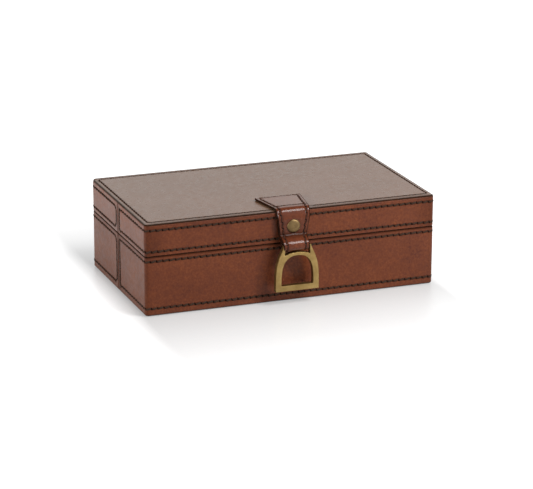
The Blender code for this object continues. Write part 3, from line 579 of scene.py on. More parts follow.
def wall_relief(s, z, row):
    """How far the wall dips below its plane at (s, z).

    The channel along the row, a quadratic fall to the hide's edge at each seam, and slow waves of a few
    hundredths of a millimetre.
    """
    seam = np.minimum(s, HALF_RUN - s)
    fall = np.maximum(1 - seam / SEAM_ROUND, 0) ** 2 * SEAM_FALL
    waves = WAVE * (np.sin(s / (23 * MM) + z / (11 * MM)) + np.sin(s / (9.1 * MM) - z / (17 * MM) + 1.3))
    channel = CHANNEL * bell(row_distance(s, z, row), CHANNEL_REACH) * pull(s)
    return channel + fall + np.maximum(waves + 0.06 * MM, 0)


def end_share(s):
    """1 on the box's ends, 0 on its front and back, and a straight line between them on the corners."""
    return np.clip((side_run + arc_run - np.minimum(s, HALF_RUN - s)) / arc_run, 0, 1)


def wall_burnish_and_shade(s, z, row, on_base):
    """Darkness from the burnisher along row and seam, painted shade on the corners, burnish with painted
    shade at the base's rim and foot, and a darker lid front near its corners.

    The front of the lid is darker within 15 mm of its corners, and on the ends painted shade deepens
    towards the foot.
    """
    edge = np.minimum(s, HALF_RUN - s)
    on_end = end_share(s)
    beside_seam = bell(edge, 7.0 * MM, 6)
    strength = 0.5 - 0.4 * on_end * (1 - beside_seam) + 0.2 * beside_seam
    thread_line = strength * bell(row_distance(s, z, row), (1.3 + 1.6 * beside_seam) * MM, 4)
    # Painted shade: the base's hide darkens beside the parting gap at its rim and along its foot, over the
    # burnished edge.
    rim_and_foot_shade = on_base * bell(np.minimum(z - shell_z, rim_z - z), 1.0 * MM)
    seam = 0.35 * bell(edge, 3.2 * MM, 4) + 0.45 * bell(edge, 0.6 * MM)
    from_corner = np.abs(edge - side_run - arc_run / 2)
    # Painted shade: a darker band down each rounded corner.
    corner = 0.22 * bell(from_corner, 3.0 * MM)
    # The lid's front is darker within 15 mm of its corners.
    lid_front_darker_near_corners = (1 - on_base) * 0.22 * bell(from_corner, 15 * MM, 4) * (1 - on_end)
    # Painted shade: the ends darken and lose gloss towards the foot, where they reflect the darker floor.
    end_shade_towards_foot = 0.22 * on_end * np.clip(1.4 - z / rim_z, 0, 1)
    return laid_over(thread_line, rim_and_foot_shade, seam, corner, lid_front_darker_near_corners, end_shade_towards_foot)


END_POLISH = {("lid", "front"): 0.14, ("lid", "rear"): 0.36}


def wrap_points(profile, part, half):
    """A wrap's points with their burnish and polish. The ends of the lid are polished by hands."""
    s = stations(1.2 * MM, np.arange(0, 8.1, 0.3) * MM)
    d, z = profile.T
    skeleton, direction = half_outline(s)
    grid_s, grid_z = np.meshgrid(s, z, indexing="ij")
    row = wall_rows[part, half]
    on_wall = (d == 0)[None, :]
    depth = d[None, :] + np.where(on_wall, wall_relief(grid_s, grid_z, row), 0)
    flat = at_depth(skeleton[:, None], direction[:, None], depth)
    if half == "rear":
        flat = flat * (1, -1)
    points = np.concatenate([flat, grid_z[..., None]], -1)
    hidden = np.where(d[None, :] > 2.5 * MM, 0.25, 0.0)
    burnish_and_shade = np.maximum(wall_burnish_and_shade(grid_s, grid_z, row, part == "base"), hidden)
    return points, burnish_and_shade, end_share(grid_s) * on_wall * END_POLISH.get((part, half), 0.0)


wraps = {}
for part, profile in (("base", base_profile), ("lid", lid_profile)):
    for half in ("front", "rear"):
        points, burnish_and_shade, polished = wrap_points(profile, part, half)
        name = f"{part}_{half}_wrap"
        wraps[part, half] = add_grid(name, points, wrap_leather,
                                     attributes={"burnish_and_shade": burnish_and_shade, "polished": polished})

# %% [markdown]
# ## Room for the hinges
#
# The rear wraps are cut away where the hinge leaves lie in the rims. The cut follows each leaf's own
# box with 0.3 mm to spare, and a Boolean makes it, because the cut is square and the grid is not.

# %% Hinge notches
NOTCH_SPARE = 0.3 * MM


def cut_notch(obj, leaf):
    """The leaf's room taken out of the rim: as deep as the hide, and open past the rim."""
    low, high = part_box(leaf)
    if "base" in leaf:
        low.z, high.z = rim_z - HIDE, rim_z + MM - NOTCH_SPARE
    else:
        low.z, high.z = lid_rim_z - MM + NOTCH_SPARE, lid_rim_z + HIDE
    size = high - low + 2 * NOTCH_SPARE * Vector((1, 1, 1))
    centre = (low + high) / 2
    work = bmesh.new()
    bmesh.ops.create_cube(work, size=1.0)
    bmesh.ops.scale(work, vec=size, verts=work.verts)
    bmesh.ops.translate(work, vec=centre, verts=work.verts)
    mesh = bpy.data.meshes.new("notch")
    work.to_mesh(mesh)
    work.free()
    cutter = add_object("notch", mesh)
    modifier = obj.modifiers.new("notch", "BOOLEAN")
    modifier.operation = "DIFFERENCE"
    modifier.solver = "EXACT"
    modifier.object = cutter
    bpy.context.view_layer.update()
    graph = bpy.context.evaluated_depsgraph_get()
    cut = bpy.data.meshes.new_from_object(obj.evaluated_get(graph), depsgraph=graph)
    obj.modifiers.clear()
    obj.data = cut
    bpy.data.objects.remove(cutter)


for part in ("base", "lid"):
    for side in ("left", "right"):
        cut_notch(wraps[part, "rear"], f"hinge_{side}_{part}_leaf")
    print(part, "rear wrap after the notches:", len(wraps[part, "rear"].data.polygons), "faces")

for (part, half), obj in wraps.items():
    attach(obj, part)
    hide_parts(f"{part}_{half}_leather")

# %% [markdown]
# ## The lid's top panel
#
# The top is one flat hide with its own sewn border. It is the same idea, with a section that starts
# at the middle of the underside, goes round the edge and comes back to the middle of the top, carried
# round the whole outline. The deepest rings fold flat on the middle line and close the surface. The
# panel is padded, so it falls off towards its edge, except at the back, where the edge curls up.

# %% Top panel
TOP_ROW = (-HALF_X + 4.7 * MM, HALF_X - 4.7 * MM, -HALF_Y + 6.3 * MM, HALF_Y - 4.7 * MM, 3.0 * MM)
TOP_EDGE = 0.8 * MM
PANEL_INSET = 0.3 * MM
PILLOW, PILLOW_REACH = 0.6 * MM, 8.0 * MM
CURL, CURL_REACH = 0.45 * MM, 3.5 * MM
FRONT_SHADE_REACH = 6.3 * MM


def full_outline(step):
    """The half outline and its mirror image, one after the other, without repeating the joining points."""
    skeleton, direction = half_outline(stations(step))
    skeleton[:, 1] = np.where(np.abs(skeleton[:, 1]) <= SEAM_HALF_GAP, 0, skeleton[:, 1])
    mirror = np.array([1, -1])
    return (np.concatenate([skeleton, (skeleton * mirror)[::-1][1:-1]]),
            np.concatenate([direction, (direction * mirror)[::-1][1:-1]]))


def top_section():
    """Out along the underside, up the edge and round it, and in along the top, in closer rings at first."""
    low = PANEL_FOOT
    rings = np.concatenate([np.arange(1.5, 10.0, 0.35), np.geomspace(10.5, 75.0, 22)]) * MM
    side, chamfer = PANEL_INSET, 0.1 * MM
    return np.concatenate([
        np.array([[HALF_Y, low], [HALF_Y / 2, low], [6 * MM, low], [side + chamfer, low]]),
        line((side, low + chamfer), (side, TOP_Z - TOP_EDGE), 2),
        quarter(side + TOP_EDGE, TOP_Z - TOP_EDGE, TOP_EDGE, 180, 90, 7),
        np.stack([rings, np.full_like(rings, TOP_Z)], -1),
        np.array([[HALF_Y, TOP_Z]]),
    ])


def top_points():
    """Points and burnish of the panel, with painted shade along its front border.

    Its edge falls away like a pillow's at the front and the ends, with the square of the distance that
    is left, and curls up in the same way at the back. The row lies in a channel.
    """
    section = top_section()
    skeleton, direction = full_outline(1.4 * MM)
    d, z = section.T
    flat = at_depth(skeleton[:, None], direction[:, None], np.broadcast_to(d, (len(skeleton), len(d))))
    x, y = flat[..., 0], flat[..., 1]
    from_row = row_distance(x, y, TOP_ROW)
    along = np.where(np.abs(y) / HALF_Y > np.abs(x) / HALF_X, x, y)
    waves = 0.03 * MM * (1 + np.sin(x / (19 * MM) + y / (13 * MM)) * np.sin(y / (21 * MM) - x / (31 * MM)))
    waves = waves * np.clip(d / (12 * MM), 0, 1)
    facing = direction[:, 1:]
    fall = PILLOW * np.clip(1 - facing, 0, 1) * np.clip(1 - d / PILLOW_REACH, 0, 1) ** 2
    fall = fall - CURL * np.clip(facing, 0, 1) * np.clip(1 - d / CURL_REACH, 0, 1) ** 2
    raised = np.clip((z - PANEL_FOOT) / (TOP_Z - PANEL_FOOT), 0, 1)
    channel = 0.3 * MM * bell(from_row, CHANNEL_REACH) * pull(along)
    dip = np.where(z == TOP_Z, channel + waves, 0) + fall * raised
    points = np.concatenate([flat, (z - dip)[..., None]], -1)
    on_front = np.clip((8 * MM - HALF_Y - y) / (1.5 * MM), 0, 1)
    thread_line = (0.3 + 0.5 * on_front) * bell(from_row, (0.9 + 0.9 * on_front) * MM, 4)
    edge = bell(d - PANEL_INSET, 1.6 * MM, 4)
    # Painted shade: the front border is darker and less glossy, for the weaker reflection on its sloping
    # edge.
    border = 0.28 * bell(d, FRONT_SHADE_REACH, 8) * np.clip(-facing, 0, 1)
    return points, laid_over(thread_line, edge, border)


points, burnish_and_shade = top_points()
lid_top = add_grid("lid_top_panel", points, top_leather, closed_rows=True, closed_columns=False,
                   caps=False, attributes={"burnish_and_shade": burnish_and_shade})
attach(lid_top, "lid")
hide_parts("lid_top_leather")

# %% [markdown]
# ## The strap's line
#
# The strap is one piece: flat on the lid, over the front edge, down behind the rivet's head, out round
# the stirrup's bar and back up behind itself. In the side view we give its middle line as distance out
# from the box's front and height. Straight runs, one arc over the lid's edge, one half circle
# at the bar, and cubic curves between them make that line.

# %% Strap centre line
STRAP = 2.0 * MM
GAP = 0.3 * MM
joints = {joint["name"]: joint for joint in frame["joints"]}
_, bar_y, bar_z = joints["stirrup_swing"]["pos_m"]
_, _, flex_z = joints["strap_flex"]["pos_m"]
rivet_z = sum(corner.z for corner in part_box("rivet")) / 2
bar_out = -HALF_Y - bar_y
strap_reach = HALF_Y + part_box("strap_top")[1].y
loop_radius = bar_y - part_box("strap_tab")[0].y - STRAP / 2
back_out = GAP + STRAP / 2
front_out = back_out + STRAP + GAP
flat_top, flat_bottom = rivet_z + 5.3 * MM, rivet_z - 6.0 * MM
drop = flat_bottom - bar_z
BEND, BEND_START, BEND_END = 5.0 * MM, 3.3 * MM, 30
STEP = 0.45 * MM


def cubic(start, start_pull, end, end_pull, steps):
    """Points of a cubic Hermite curve: places and pulls of its ends, weighted by four cubic blends of t."""
    t = np.linspace(0, 1, steps + 1)[1:, None]
    return ((2 * t ** 3 - 3 * t ** 2 + 1) * start + (t ** 3 - 2 * t ** 2 + t) * start_pull
            + (3 * t ** 2 - 2 * t ** 3) * end + (t ** 3 - t ** 2) * end_pull)


def strap_line():
    """The straight runs, arcs and curves of the side view, one after the other."""
    level = TOP_Z + GAP + STRAP / 2
    turn = np.radians(np.linspace(90, BEND_END, 15))
    loop = np.radians(np.linspace(0, -180, 31))[1:]
    down = np.array([0, -1.0])
    parts = [np.array([[-strap_reach, level], [-strap_reach / 2, level]]),
             np.stack([BEND * np.cos(turn) - BEND_START, level + BEND * (np.sin(turn) - 1)], -1)]
    fall = parts[-1][-1][1] - flat_top
    leaning = np.array([math.sin(turn[-1]), -math.cos(turn[-1])])
    parts.append(cubic(parts[-1][-1], leaning * fall, np.array([front_out, flat_top]), down * fall, 20))
    parts.append(np.array([[front_out, flat_bottom]]))
    parts.append(cubic(parts[-1][-1], down * drop * 1.1, np.array([bar_out + loop_radius, bar_z]),
                       down * drop * 1.6, 20))
    parts.append(np.stack([bar_out + loop_radius * np.cos(loop), bar_z + loop_radius * np.sin(loop)], -1))
    parts.append(cubic(parts[-1][-1], -down * drop * 0.8, np.array([back_out, bar_z + drop * 0.8]),
                       -down * drop * 0.8, 16))
    parts.append(np.array([[back_out, flat_top - STRAP / 2]]))
    return np.concatenate(parts)


def resample(points, step):
    """The same line at equal distances, and those distances."""
    reach = running_length(points)
    even = np.linspace(0, reach[-1], round(reach[-1] / step) + 1)
    return read_off(even, reach, points), even


centre_line, along = resample(strap_line(), STEP)
for _ in range(3):
    centre_line[1:-1] = (centre_line[:-2] + 2 * centre_line[1:-1] + centre_line[2:]) / 4
print(f"strap length {along[-1] / MM:.1f} mm in {len(along)} stations")

# %% Strap widths and frame
HANGS_LEFT = 0.5 * MM
GOES_DOWN = slice(0, 120)
front_v = np.interp(0.0, centre_line[GOES_DOWN, 0], along[GOES_DOWN])


WIDTHS_ON_LID = np.array([43.3, 31.0]) * MM
HANGING_AT = (53.8 * MM, rivet_z, flex_z, TOP_Z + 2 * MM)
WIDTHS_HANGING = np.array([23.4, 27.2, 30.6, 31.2]) * MM


def strap_half_width(out, height):
    """Half width of the strap: tapering towards the front on the lid, then narrowing with the height."""
    on_lid = np.interp(out, [-strap_reach, 0], WIDTHS_ON_LID / 2)
    hanging = np.interp(height, HANGING_AT, WIDTHS_HANGING / 2)
    return np.where(out < 0, on_lid, hanging)


def strap_frame(v):
    """Place, outward normal and half width at distance v along the strap."""
    place = read_off(v, along, centre_line)
    tangent = read_off(v, along, np.gradient(centre_line, along, axis=0))
    tangent /= np.linalg.norm(tangent, axis=-1, keepdims=True)
    normal = np.stack([-tangent[..., 1], tangent[..., 0]], -1)
    return place, normal, strap_half_width(place[..., 0], place[..., 1])


def strap_point(a, v, h):
    """A point of the strap: a across it, v along it, h out of its middle layer. It hangs a hair askew."""
    place, normal, _ = strap_frame(v)
    side = place + normal * h[..., None]
    askew = HANGS_LEFT * np.clip((v - front_v) / (13 * MM), 0, 2)
    return np.stack([a - askew, -HALF_Y - side[..., 0], side[..., 1]], -1)


half_width = strap_frame(along)[2]
edge_width = half_width[int(front_v / STEP)]
print(f"over the lid's edge at {front_v / MM:.1f} mm, half width there {edge_width / MM:.1f} mm")

# %% [markdown]
# ## The strap's body
#
# Its section is a flat strip, two millimetres thick, with edges that the maker rounded and painted
# dark. The face dips along the stitch rows and round the rivet. Across the strap we use more points
# where the rows and the edges are.

# %% Strap surface
STRAP_ROW_INSET = 3.4 * MM
STRAP_ROUND = 0.7 * MM
END_RADIUS = 2.5 * MM
TINY = 1e-7
LEVELS = slice(0, 140)
loop_v = along[np.argmin(np.abs(centre_line[:, 1] - (bar_z - loop_radius)))]
cross_v = strap_reach - 6.8 * MM
rivet_v, crease_v = np.interp([-rivet_z, 2 * MM - flat_bottom], -centre_line[LEVELS, 1], along[LEVELS])


def strip_section(width, half, edge_round):
    """Across the face, round one edge, back across the flesh side and round the other edge."""
    flat = width - edge_round
    u = np.linspace(-1, 1, 41)
    spread = np.sign(u) * np.abs(u) ** 0.8
    t = np.radians(np.linspace(90, -90, 9))[1:-1]
    face = np.stack([spread * flat, np.full_like(u, half)], -1)
    edge = np.stack([flat + edge_round * np.cos(t), half * np.sin(t)], -1)
    flesh = np.stack([np.linspace(1, -1, 13) * flat, np.full(13, -half)], -1)
    return np.concatenate([face, edge, flesh, (edge * (-1, 1))[::-1]])


def strap_points():
    """Points, burnish with painted crease shade, and polish of the strap.

    The face has a channel under each row, a crown that falls with the square of the distance from the
    middle, and a ring pressed in round the rivet. Its two ends are rounded in plan and in thickness.
    """
    to_end = np.minimum(along, along[-1] - along)
    rounding = END_RADIUS - np.sqrt(END_RADIUS ** 2 - np.clip(END_RADIUS - to_end, 0, None) ** 2)
    sections = np.stack([strip_section(w, STRAP / 2, STRAP_ROUND) for w in half_width - rounding])
    a, h = sections[..., 0], sections[..., 1]
    v = np.broadcast_to(along[:, None], a.shape)
    ends = np.broadcast_to(to_end[:, None], a.shape)
    width = half_width[:, None]
    rim = width - rounding[:, None]
    face = h > STRAP / 2 - TINY
    row = np.abs(np.abs(a) - (width - STRAP_ROW_INSET))
    channel = 0.3 * MM * bell(row, 0.8 * MM) * pull(v)
    crown = 0.3 * MM * (a / width) ** 2
    pressed = 0.3 * MM * bell(np.hypot(a, v - rivet_v) - 5.5 * MM, 1.6 * MM)
    taper = np.sqrt(np.clip(1 - (1 - ends / STRAP_ROUND).clip(0, 1) ** 2, 0.03, 1))
    points = strap_point(a, v, np.where(face, h - channel - crown - pressed, h) * taper)
    on_lid = np.clip((front_v - v) / (2 * MM), 0, 1)
    edge = np.where(face, (1 - 0.7 * on_lid) * bell(rim - np.abs(a), 0.9 * MM, 4), 1)
    end = bell(ends, 0.5 * MM, 4)
    thread_line = 0.35 * bell(row, 1.1 * MM)
    cross_rows = 0.35 * bell(v - STRAP_ROW_INSET, 1.2 * MM) + 0.6 * bell(v - cross_v, 1.8 * MM, 4)
    # Painted shade in the concave crease below the rivet, which also dims the highlight there.
    crease_shade = 0.8 * bell(v - crease_v, 3.5 * MM)
    flesh = np.where(h < 0, 0.35, 0)
    burnish_and_shade = laid_over(edge, end, thread_line, flesh, crease_shade, face * cross_rows)
    return points, burnish_and_shade, on_lid * (1 - burnish_and_shade)


points, burnish_and_shade, polished = strap_points()
strap = add_grid("strap", points, strap_leather, attributes={"burnish_and_shade": burnish_and_shade, "polished": polished})
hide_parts("strap_top", "strap_tab")

# %% [markdown]
# ## Stitches
#
# A saddle stitch shows as a short length of thick thread that slants a little and sinks at both ends
# into holes made by an awl. The holes are slanted slits, and the shade in them is painted as a flat,
# nearly black grain in each, the darkest thing in a row. One stitch is a small closed grid of rings,
# and a slit's painted shade is a flatter one. We make them in the flat coordinates of their panel,
# along the row, across it and out of it, and send every point through the panel's own mapping, so a
# stitch bends round a corner with the leather under it.

# %% Stitch shapes
STITCH_LENGTH = 4.8 * MM
STITCH_WIDTH = 1.7 * MM
STITCH_HEIGHT = 0.9 * MM
STITCH_SLANT = math.radians(20)
SLIT_LENGTH = 2.9 * MM
SLIT_WIDTH = 1.3 * MM
SLIT_HEIGHT = 0.5 * MM
SLIT_SLANT = math.radians(-68)
SINK = 0.12 * MM
random = np.random.default_rng(7)


def grain(centres, angles, length, width, height, sink, dip, rings):
    """Points (grain, ring, place in ring) of closed grains in panel coordinates.

    Along the grain t runs from -1 to 1. Its radius follows the fourth root of 1 - t^4, so it stays
    thick and closes at its ends, and its middle line dips with t^4 towards the ends.
    """
    t = np.sin(np.linspace(-1, 1, rings) * math.pi / 2)
    ring = np.linspace(0, 2 * math.pi, 9)[:-1]
    thick = (1 - t ** 4) ** 0.25
    x = np.broadcast_to((t * length / 2)[:, None], (rings, 8))
    y = np.outer(thick, np.cos(ring)) * width / 2
    h = np.outer(thick, np.sin(ring)) * height / 2 - (sink + dip * t ** 4)[:, None]
    turn = angles[:, None, None]
    a = centres[:, 0, None, None] + x * np.cos(turn) - y * np.sin(turn)
    b = centres[:, 1, None, None] + x * np.sin(turn) + y * np.cos(turn)
    return a, b, np.broadcast_to(h, a.shape)


def sewn(centres, angles, mapping, size=1.0):
    """Threads and the slits' painted shade of a row, mapped to space, with a hand's small unevenness."""
    count = len(centres)
    jitter = random.normal(0, 0.09 * MM, (count, 2))
    lean = random.normal(0, math.radians(2.5), count)
    threads = grain(centres + jitter, angles + STITCH_SLANT + lean, STITCH_LENGTH, STITCH_WIDTH * size,
                    STITCH_HEIGHT * size, SINK, 0.3 * MM, 9)
    ahead = centres + np.stack([np.cos(angles), np.sin(angles)], -1) * PITCH / 2
    hole_shades = grain(ahead, angles + SLIT_SLANT + lean, SLIT_LENGTH * size, SLIT_WIDTH * size, SLIT_HEIGHT,
                  SINK, 0.0, 5)
    return mapping(*threads), mapping(*hole_shades)


def add_grains(name, points, material):
    """One mesh of many grains: the quads of one grid, repeated with an offset for each grain."""
    count, rows, columns = points.shape[:3]
    one = grid_faces(rows, columns, False, True)
    faces = (one[None] + (np.arange(count) * rows * columns)[:, None, None]).reshape(-1, 4)
    return add_mesh(name, points, faces.tolist(), material, merge=0.001 * MM, sharp_angle=80)


def add_sewing(name, rows, material=thread_material):
    """The thread and the slits' painted shade of several rows, each one mesh. Returns both objects."""
    threads = add_grains(f"{name}_thread", np.concatenate([row[0] for row in rows]), material)
    hole_shades = add_grains(f"{name}_slits", np.concatenate([row[1] for row in rows]), hole_shade_material)
    return threads, hole_shades


def wall_mapping(rear):
    """The mapping from the unrolled wall to space: s along it, z up it and h out of it."""
    def mapping(s, z, h):
        skeleton, direction = half_outline(s)
        flat = at_depth(skeleton, direction, -h)
        if rear:
            flat = flat * (1, -1)
        return np.concatenate([flat, z[..., None]], -1)
    return mapping


def top_mapping(a, b, h):
    """The panel's plane lies at its top height."""
    return np.stack([a, b, TOP_Z + h], -1)


for part in ("lid", "base"):
    rows = [sewn(*row_places(wall_rows[part, half]), wall_mapping(half == "rear"))
            for half in ("front", "rear")]
    for obj in add_sewing(f"{part}_wall", rows):
        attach(obj, part)

centres, angles = row_places(TOP_ROW)
BENEATH = 19 * MM
under_strap = (np.abs(centres[:, 0]) < BENEATH) & (centres[:, 1] < 0)
for obj in add_sewing("lid_top", [sewn(centres[~under_strap], angles[~under_strap], top_mapping, 0.75)]):
    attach(obj, "lid")

# %% [markdown]
# ## Stitches on the strap
#
# Two rows run down the strap, one beside each edge, from its back end to the loop. One row crosses it
# at the back and one where it is sewn through the lid, level with the lid's own front row. They use
# the strap's mapping.

# %% Strap thread
def side_row(sign):
    """Stitches at equal distances along the strap, at a constant inset from one edge."""
    v = np.arange(STRAP_ROW_INSET + 0.5 * PITCH, loop_v + 1 * MM, PITCH)
    _, _, width = strap_frame(v)
    a = sign * (width - STRAP_ROW_INSET)
    _, _, ahead = strap_frame(v + MM)
    lean = np.arctan2(MM, sign * (ahead - width))
    return np.stack([a, v], -1), lean


def cross_row(v):
    """A whole number of stitches across the strap, between its two side rows."""
    width = float(strap_frame(np.array([v]))[2][0]) - STRAP_ROW_INSET
    count = round(2 * width / PITCH)
    a = -width + (np.arange(count) + 0.5) * 2 * width / count
    return np.stack([a, np.full(count, v)], -1), np.zeros(count)


def strap_mapping(a, v, h):
    """The strap's face lies half its thickness out of its middle layer."""
    return strap_point(a, v, h + STRAP / 2)


runs = [side_row(-1), side_row(1), cross_row(STRAP_ROW_INSET - 1.0 * MM), cross_row(cross_v)]
strap_sewing = add_sewing("strap", [sewn(*run, strap_mapping, 0.75) for run in runs],
                          strap_thread_material)
for piece in (strap, *strap_sewing):
    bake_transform(piece)

# %% [markdown]
# ## The rivet
#
# A turned brass button: a flat face with a soft shoulder and a small centre mark. Its profile gives
# radius and height in millimetres, from the middle of the face to the foot of the shank, and the grid
# turns it round its axis, which points out of the strap.

# %% Rivet
SIDES = 48


def turned(profile, centre):
    """Rows follow the profile and columns the angle, with the axis along -Y."""
    angle = np.linspace(0, 2 * math.pi, SIDES + 1)[:-1]
    radius, height = profile.T
    x = np.outer(radius, np.cos(angle))
    z = np.outer(radius, np.sin(angle))
    y = np.broadcast_to(-height[:, None], x.shape)
    return np.stack([x + centre[0], y + centre[1], z + centre[2]], -1)


rivet_profile = np.array([
    (0.0, 6.02), (0.35, 6.03), (0.6, 6.13), (1.6, 6.16), (3.0, 6.08), (4.1, 5.9), (4.9, 5.62), (5.5, 5.3),
    (5.9, 4.98), (6.0, 4.8), (5.9, 4.62), (2.0, 4.62), (2.0, 1.1), (3.9, 1.1), (4.0, 1.0), (4.0, 0.4),
    (3.9, 0.3), (0.0, 0.3)]) * MM
rivet = add_mesh("rivet_button", turned(rivet_profile, (-1.6 * HANGS_LEFT, -HALF_Y, rivet_z)),
                 grid_faces(len(rivet_profile), SIDES, False, True).tolist(), rivet_brass, sharp_angle=40)
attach(rivet, "tab")
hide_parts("rivet")

# %% [markdown]
# ## The stirrup
#
# The stirrup is a flat casting with two openings, which no single grid can follow. Its solid already
# has the right outline, so we take a copy, merge its loose triangles into one skin and smooth it by
# angle.

# %% Stirrup
casting = frame["nodes"]["stirrup"].data.copy()
casting.materials.clear()
stirrup = add_skin("stirrup_casting", casting, brass_material, sharp_angle=35)
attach(stirrup, "stirrup")
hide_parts("stirrup")

# %% [markdown]
# ## Linings and the underside
#
# The suede is glued to thin card, so each lining is a slab with soft edges whose face swells a little
# away from its card. It is the strap's kind of section again: across the slab, round its edge and back,
# carried along its longest side. A panel of plain hide covers the underside and lies flat.

# %% Soft panels
LINING_SWELL = 0.3 * MM
LINING_ROUND = 0.55 * MM


def panel_points(node, swell):
    """Points of a slab in the node's box, and how near each one is to the slab's border.

    The face that looks to the middle of the box swells by (1 - u^4)(1 - w^4), where u and w run from
    -1 to 1 along the slab and across it, and ripples by a tenth of that.
    """
    low, high = (np.array(corner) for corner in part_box(node))
    middle, half = (low + high) / 2, (high - low) / 2
    thin, across, longest = np.argsort(half)
    inward = np.sign(np.array([0, 0, rim_z]) - middle)[thin]
    a, h = strip_section(half[across], half[thin], LINING_ROUND).T
    run = np.linspace(-half[longest], half[longest], round(half[longest] / MM))
    u, w = (run / half[longest])[:, None], (a / half[across])[None, :]
    face = h > half[thin] - TINY
    ripple = 1 + 0.1 * np.sin(run[:, None] / (5 * MM) + a / (7 * MM)) * np.sin(a / (9 * MM))
    height = h + np.where(face, swell * (1 - u ** 4) * (1 - w ** 4) * ripple, 0)
    points = np.empty((len(run), len(a), 3))
    points[..., longest] = middle[longest] + run[:, None]
    points[..., across] = middle[across] + a
    points[..., thin] = middle[thin] + inward * height
    inset = np.minimum(half[longest] - np.abs(run)[:, None], half[across] - np.abs(a))
    return points, bell(inset, 1.5 * MM)


def add_panel(name, node, material, swell):
    """A slab in place of one CAD node, on the body that the node's name starts with."""
    points, border = panel_points(node, swell)
    panel = add_grid(name, points, material, attributes={"burnish_and_shade": border})
    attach(panel, node.split("_")[0])
    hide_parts(node)


for node in sorted(frame["nodes"]):
    if node.endswith("_lining"):
        add_panel(node.replace("_lining", "_suede"), node, suede_material, LINING_SWELL)
add_panel("underside_panel", "base_underside_leather", under_leather, 0.0)

# %% [markdown]
# ## The CAD pieces that stay
#
# Boards, hinges, pins and screws keep their solids and get their materials. The boards lie under hide
# and suede and show only as a raw edge in the hinge notches.

# %% Materials on the CAD nodes
def finish_of(name):
    """Boards are raw board, and the other CAD pieces that show belong to the hinges."""
    return board_material if name.endswith("_board") else bright_brass


for name, node in frame["nodes"].items():
    if not node.hide_render:
        node.data.materials.clear()
        node.data.materials.append(finish_of(name))
print("CAD nodes shown:", sum(not node.hide_render for node in frame["nodes"].values()))

# %% [markdown]
# ## Floor, light and camera
#
# The box stands on a white satin board, lit by large soft lamps. The floor glows a little for the
# camera and for reflections, so that it stays white. The glow is weaker near the box's footprint,
# which paints a soft shadow round the box, on top of the shadow that the floor's own light and its
# faint mirror image carry. The world is white to the camera and to reflections, and dimmer to the
# light that falls on the box, so the box keeps its colour.

# %% Floor
FLOOR_SIZE = 3.0
# Glow at the box, at the middle distance and far off: the dimmer glow near the box is a painted shadow.
GLOW_IN_PAINTED_SHADOW, GLOW_AT_SHADOW_EDGE, GLOW_CLEAR_OF_SHADOW = 0.33, 0.5, 0.95
SHADOW_EDGE_AT, SHADOW_END_AT = 60 * MM, 250 * MM
SHADOW_SIDE_SQUEEZE = 11.0
WHITE = (1, 1, 1, 1)


def by_ray(tree, lighting, seen):
    """One shader where the surface only lights something, and one for the camera and for reflections."""
    path = add_node(tree, "LightPath").outputs
    share = add_node(tree, "Math", links={0: path["Is Camera Ray"], 1: path["Is Glossy Ray"]},
                     operation="MAXIMUM")
    mixed = add_node(tree, "MixShader", links={0: share.outputs["Value"], 1: lighting, 2: seen})
    return mixed.outputs["Shader"]


def add_floor():
    """A painted shadow: the glow is dimmest at the box's footprint and grows with the distance from it, in
    which sideways millimetres count more.
    """
    s = FLOOR_SIZE
    mesh = bpy.data.meshes.new("floor")
    mesh.from_pydata([(-s, -s, 0), (s, -s, 0), (s, s, 0), (-s, s, 0)], [], [(0, 1, 2, 3)])
    floor = add_object("floor", mesh)
    material, tree, shader, place = new_material("white_satin_floor")
    tree.nodes.remove(shader)
    matt = add_node(tree, "BsdfDiffuse", {"Color": (0.34, 0.34, 0.34, 1)})
    satin = add_node(tree, "BsdfGlossy", {"Color": (0.18, 0.18, 0.18, 1), "Roughness": 0.38})
    surface = add_node(tree, "AddShader", links={0: matt.outputs["BSDF"], 1: satin.outputs["BSDF"]})
    for operation, value in (("ABSOLUTE", (0, 0, 0)), ("SUBTRACT", (HALF_X, HALF_Y, 0)),
                             ("MAXIMUM", (0, 0, 0)), ("MULTIPLY", (SHADOW_SIDE_SQUEEZE, 1, 1))):
        place = add_node(tree, "VectorMath", {1: value}, {0: place}, operation=operation).outputs["Vector"]
    away = add_node(tree, "VectorMath", links={0: place}, operation="LENGTH").outputs["Value"]
    # Painted shadow: the glow's level rises from the box's footprint outwards.
    near = remap(tree, away, GLOW_IN_PAINTED_SHADOW, GLOW_AT_SHADOW_EDGE, 0.0, SHADOW_EDGE_AT)
    far = remap(tree, away, 0.0, GLOW_CLEAR_OF_SHADOW - GLOW_AT_SHADOW_EDGE, SHADOW_EDGE_AT, SHADOW_END_AT)
    level = add_node(tree, "Math", links={0: near, 1: far}, operation="ADD").outputs["Value"]
    dark = add_node(tree, "Emission", {"Strength": 0.0}).outputs["Emission"]
    glow_with_painted_shadow = add_node(tree, "Emission", {"Color": WHITE}, {"Strength": level}).outputs["Emission"]
    both = add_node(tree, "AddShader", links={0: surface.outputs["Shader"], 1: by_ray(tree, dark, glow_with_painted_shadow)})
    plug(tree, tree.nodes["Material Output"], links={"Surface": both.outputs["Shader"]})
    mesh.materials.append(material)
    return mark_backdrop(floor)


add_floor()

# %% World and lamps
AMBIENT = 0.14
SWEEP_START, SWEEP_END, OVERHEAD = 0.62, 0.8, 0.15


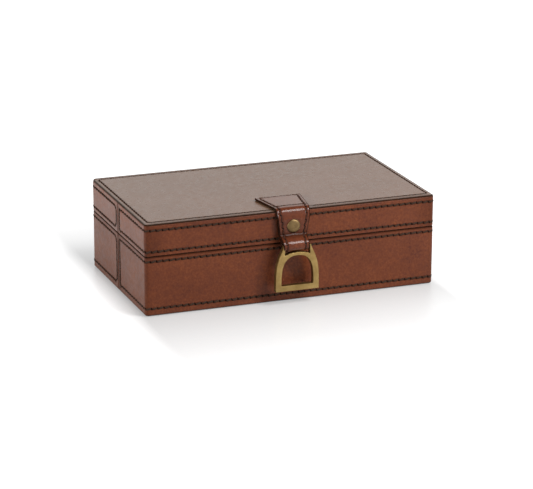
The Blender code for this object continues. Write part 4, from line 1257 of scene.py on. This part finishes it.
def add_world():
    """White up to SWEEP_START, the sine of the elevation, and dimmer overhead from SWEEP_END on."""
    world = bpy.data.worlds.new("studio")
    bpy.context.scene.world = world
    world.use_nodes = True
    tree = world.node_tree
    tree.nodes.clear()
    direction = add_node(tree, "TexCoord").outputs["Generated"]
    upwards = add_node(tree, "SeparateXYZ", links={"Vector": direction}).outputs["Z"]
    sweep = remap(tree, upwards, 1.0, OVERHEAD, SWEEP_START, SWEEP_END)
    ambient = add_node(tree, "Background", {"Color": WHITE, "Strength": AMBIENT}).outputs["Background"]
    white = add_node(tree, "Background", {"Color": WHITE}, {"Strength": sweep}).outputs["Background"]
    add_node(tree, "OutputWorld", links={"Surface": by_ray(tree, ambient, white)})


add_world()


def soft_lamp(name, azimuth, elevation, distance, size, power):
    """A rectangular lamp in that direction from the box, turned towards it. Azimuth 0 is in front."""
    a, e = math.radians(azimuth), math.radians(elevation)
    way = Vector((math.sin(a) * math.cos(e), -math.cos(a) * math.cos(e), math.sin(e)))
    lamp = bpy.data.lights.new(name, "AREA")
    lamp.shape = "RECTANGLE"
    lamp.size, lamp.size_y = size
    lamp.energy = power
    obj = add_object(name, lamp)
    obj.location = Vector((0, 0, TOP_Z / 2)) + way * distance
    obj.rotation_euler = way.to_track_quat("Z", "Y").to_euler()


soft_lamp("key", 46, 27, 1.3, (0.18, 0.18), 6)
soft_lamp("front_box", 34, 52, 1.2, (0.4, 0.4), 9.5)
soft_lamp("left_fill", -85, 14, 1.3, (0.5, 0.4), 8.5)
print("lamps:", len(bpy.data.lights))

# %% Camera
CAMERA_AZIMUTH, CAMERA_ELEVATION, CAMERA_ROLL = (math.radians(a) for a in (-20.81, 17.40, 0.18))
CAMERA_DISTANCE = 2208.2 * MM
SHIFT_RIGHT, SHIFT_UP = 4.5 * MM, -12.16 * MM
FOCAL_IN_PIXELS, PHOTO_WIDTH = 2477.48, 533


def add_camera():
    """The camera looks at the box's middle from the measured angle, slid sideways in its own plane."""
    back = Vector((math.sin(CAMERA_AZIMUTH) * math.cos(CAMERA_ELEVATION),
                   -math.cos(CAMERA_AZIMUTH) * math.cos(CAMERA_ELEVATION), math.sin(CAMERA_ELEVATION)))
    forward = -back
    right = forward.cross(Vector((0, 0, 1))).normalized()
    up = right.cross(forward)
    turned_right = right * math.cos(CAMERA_ROLL) + up * math.sin(CAMERA_ROLL)
    turned_up = up * math.cos(CAMERA_ROLL) - right * math.sin(CAMERA_ROLL)
    data = bpy.data.cameras.new("camera")
    camera = add_object("camera", data)
    centre = Vector((0, 0, TOP_Z / 2))
    camera.location = centre + back * CAMERA_DISTANCE + turned_right * SHIFT_RIGHT + turned_up * SHIFT_UP
    camera.rotation_euler = Matrix((turned_right, turned_up, back)).transposed().to_euler()
    data.sensor_width = 36.0
    data.lens = FOCAL_IN_PIXELS / PHOTO_WIDTH * data.sensor_width
    bpy.context.scene.camera = camera
    print("camera lens:", round(data.lens, 1))


add_camera()
bpy.context.scene.view_settings.view_transform = "Standard"
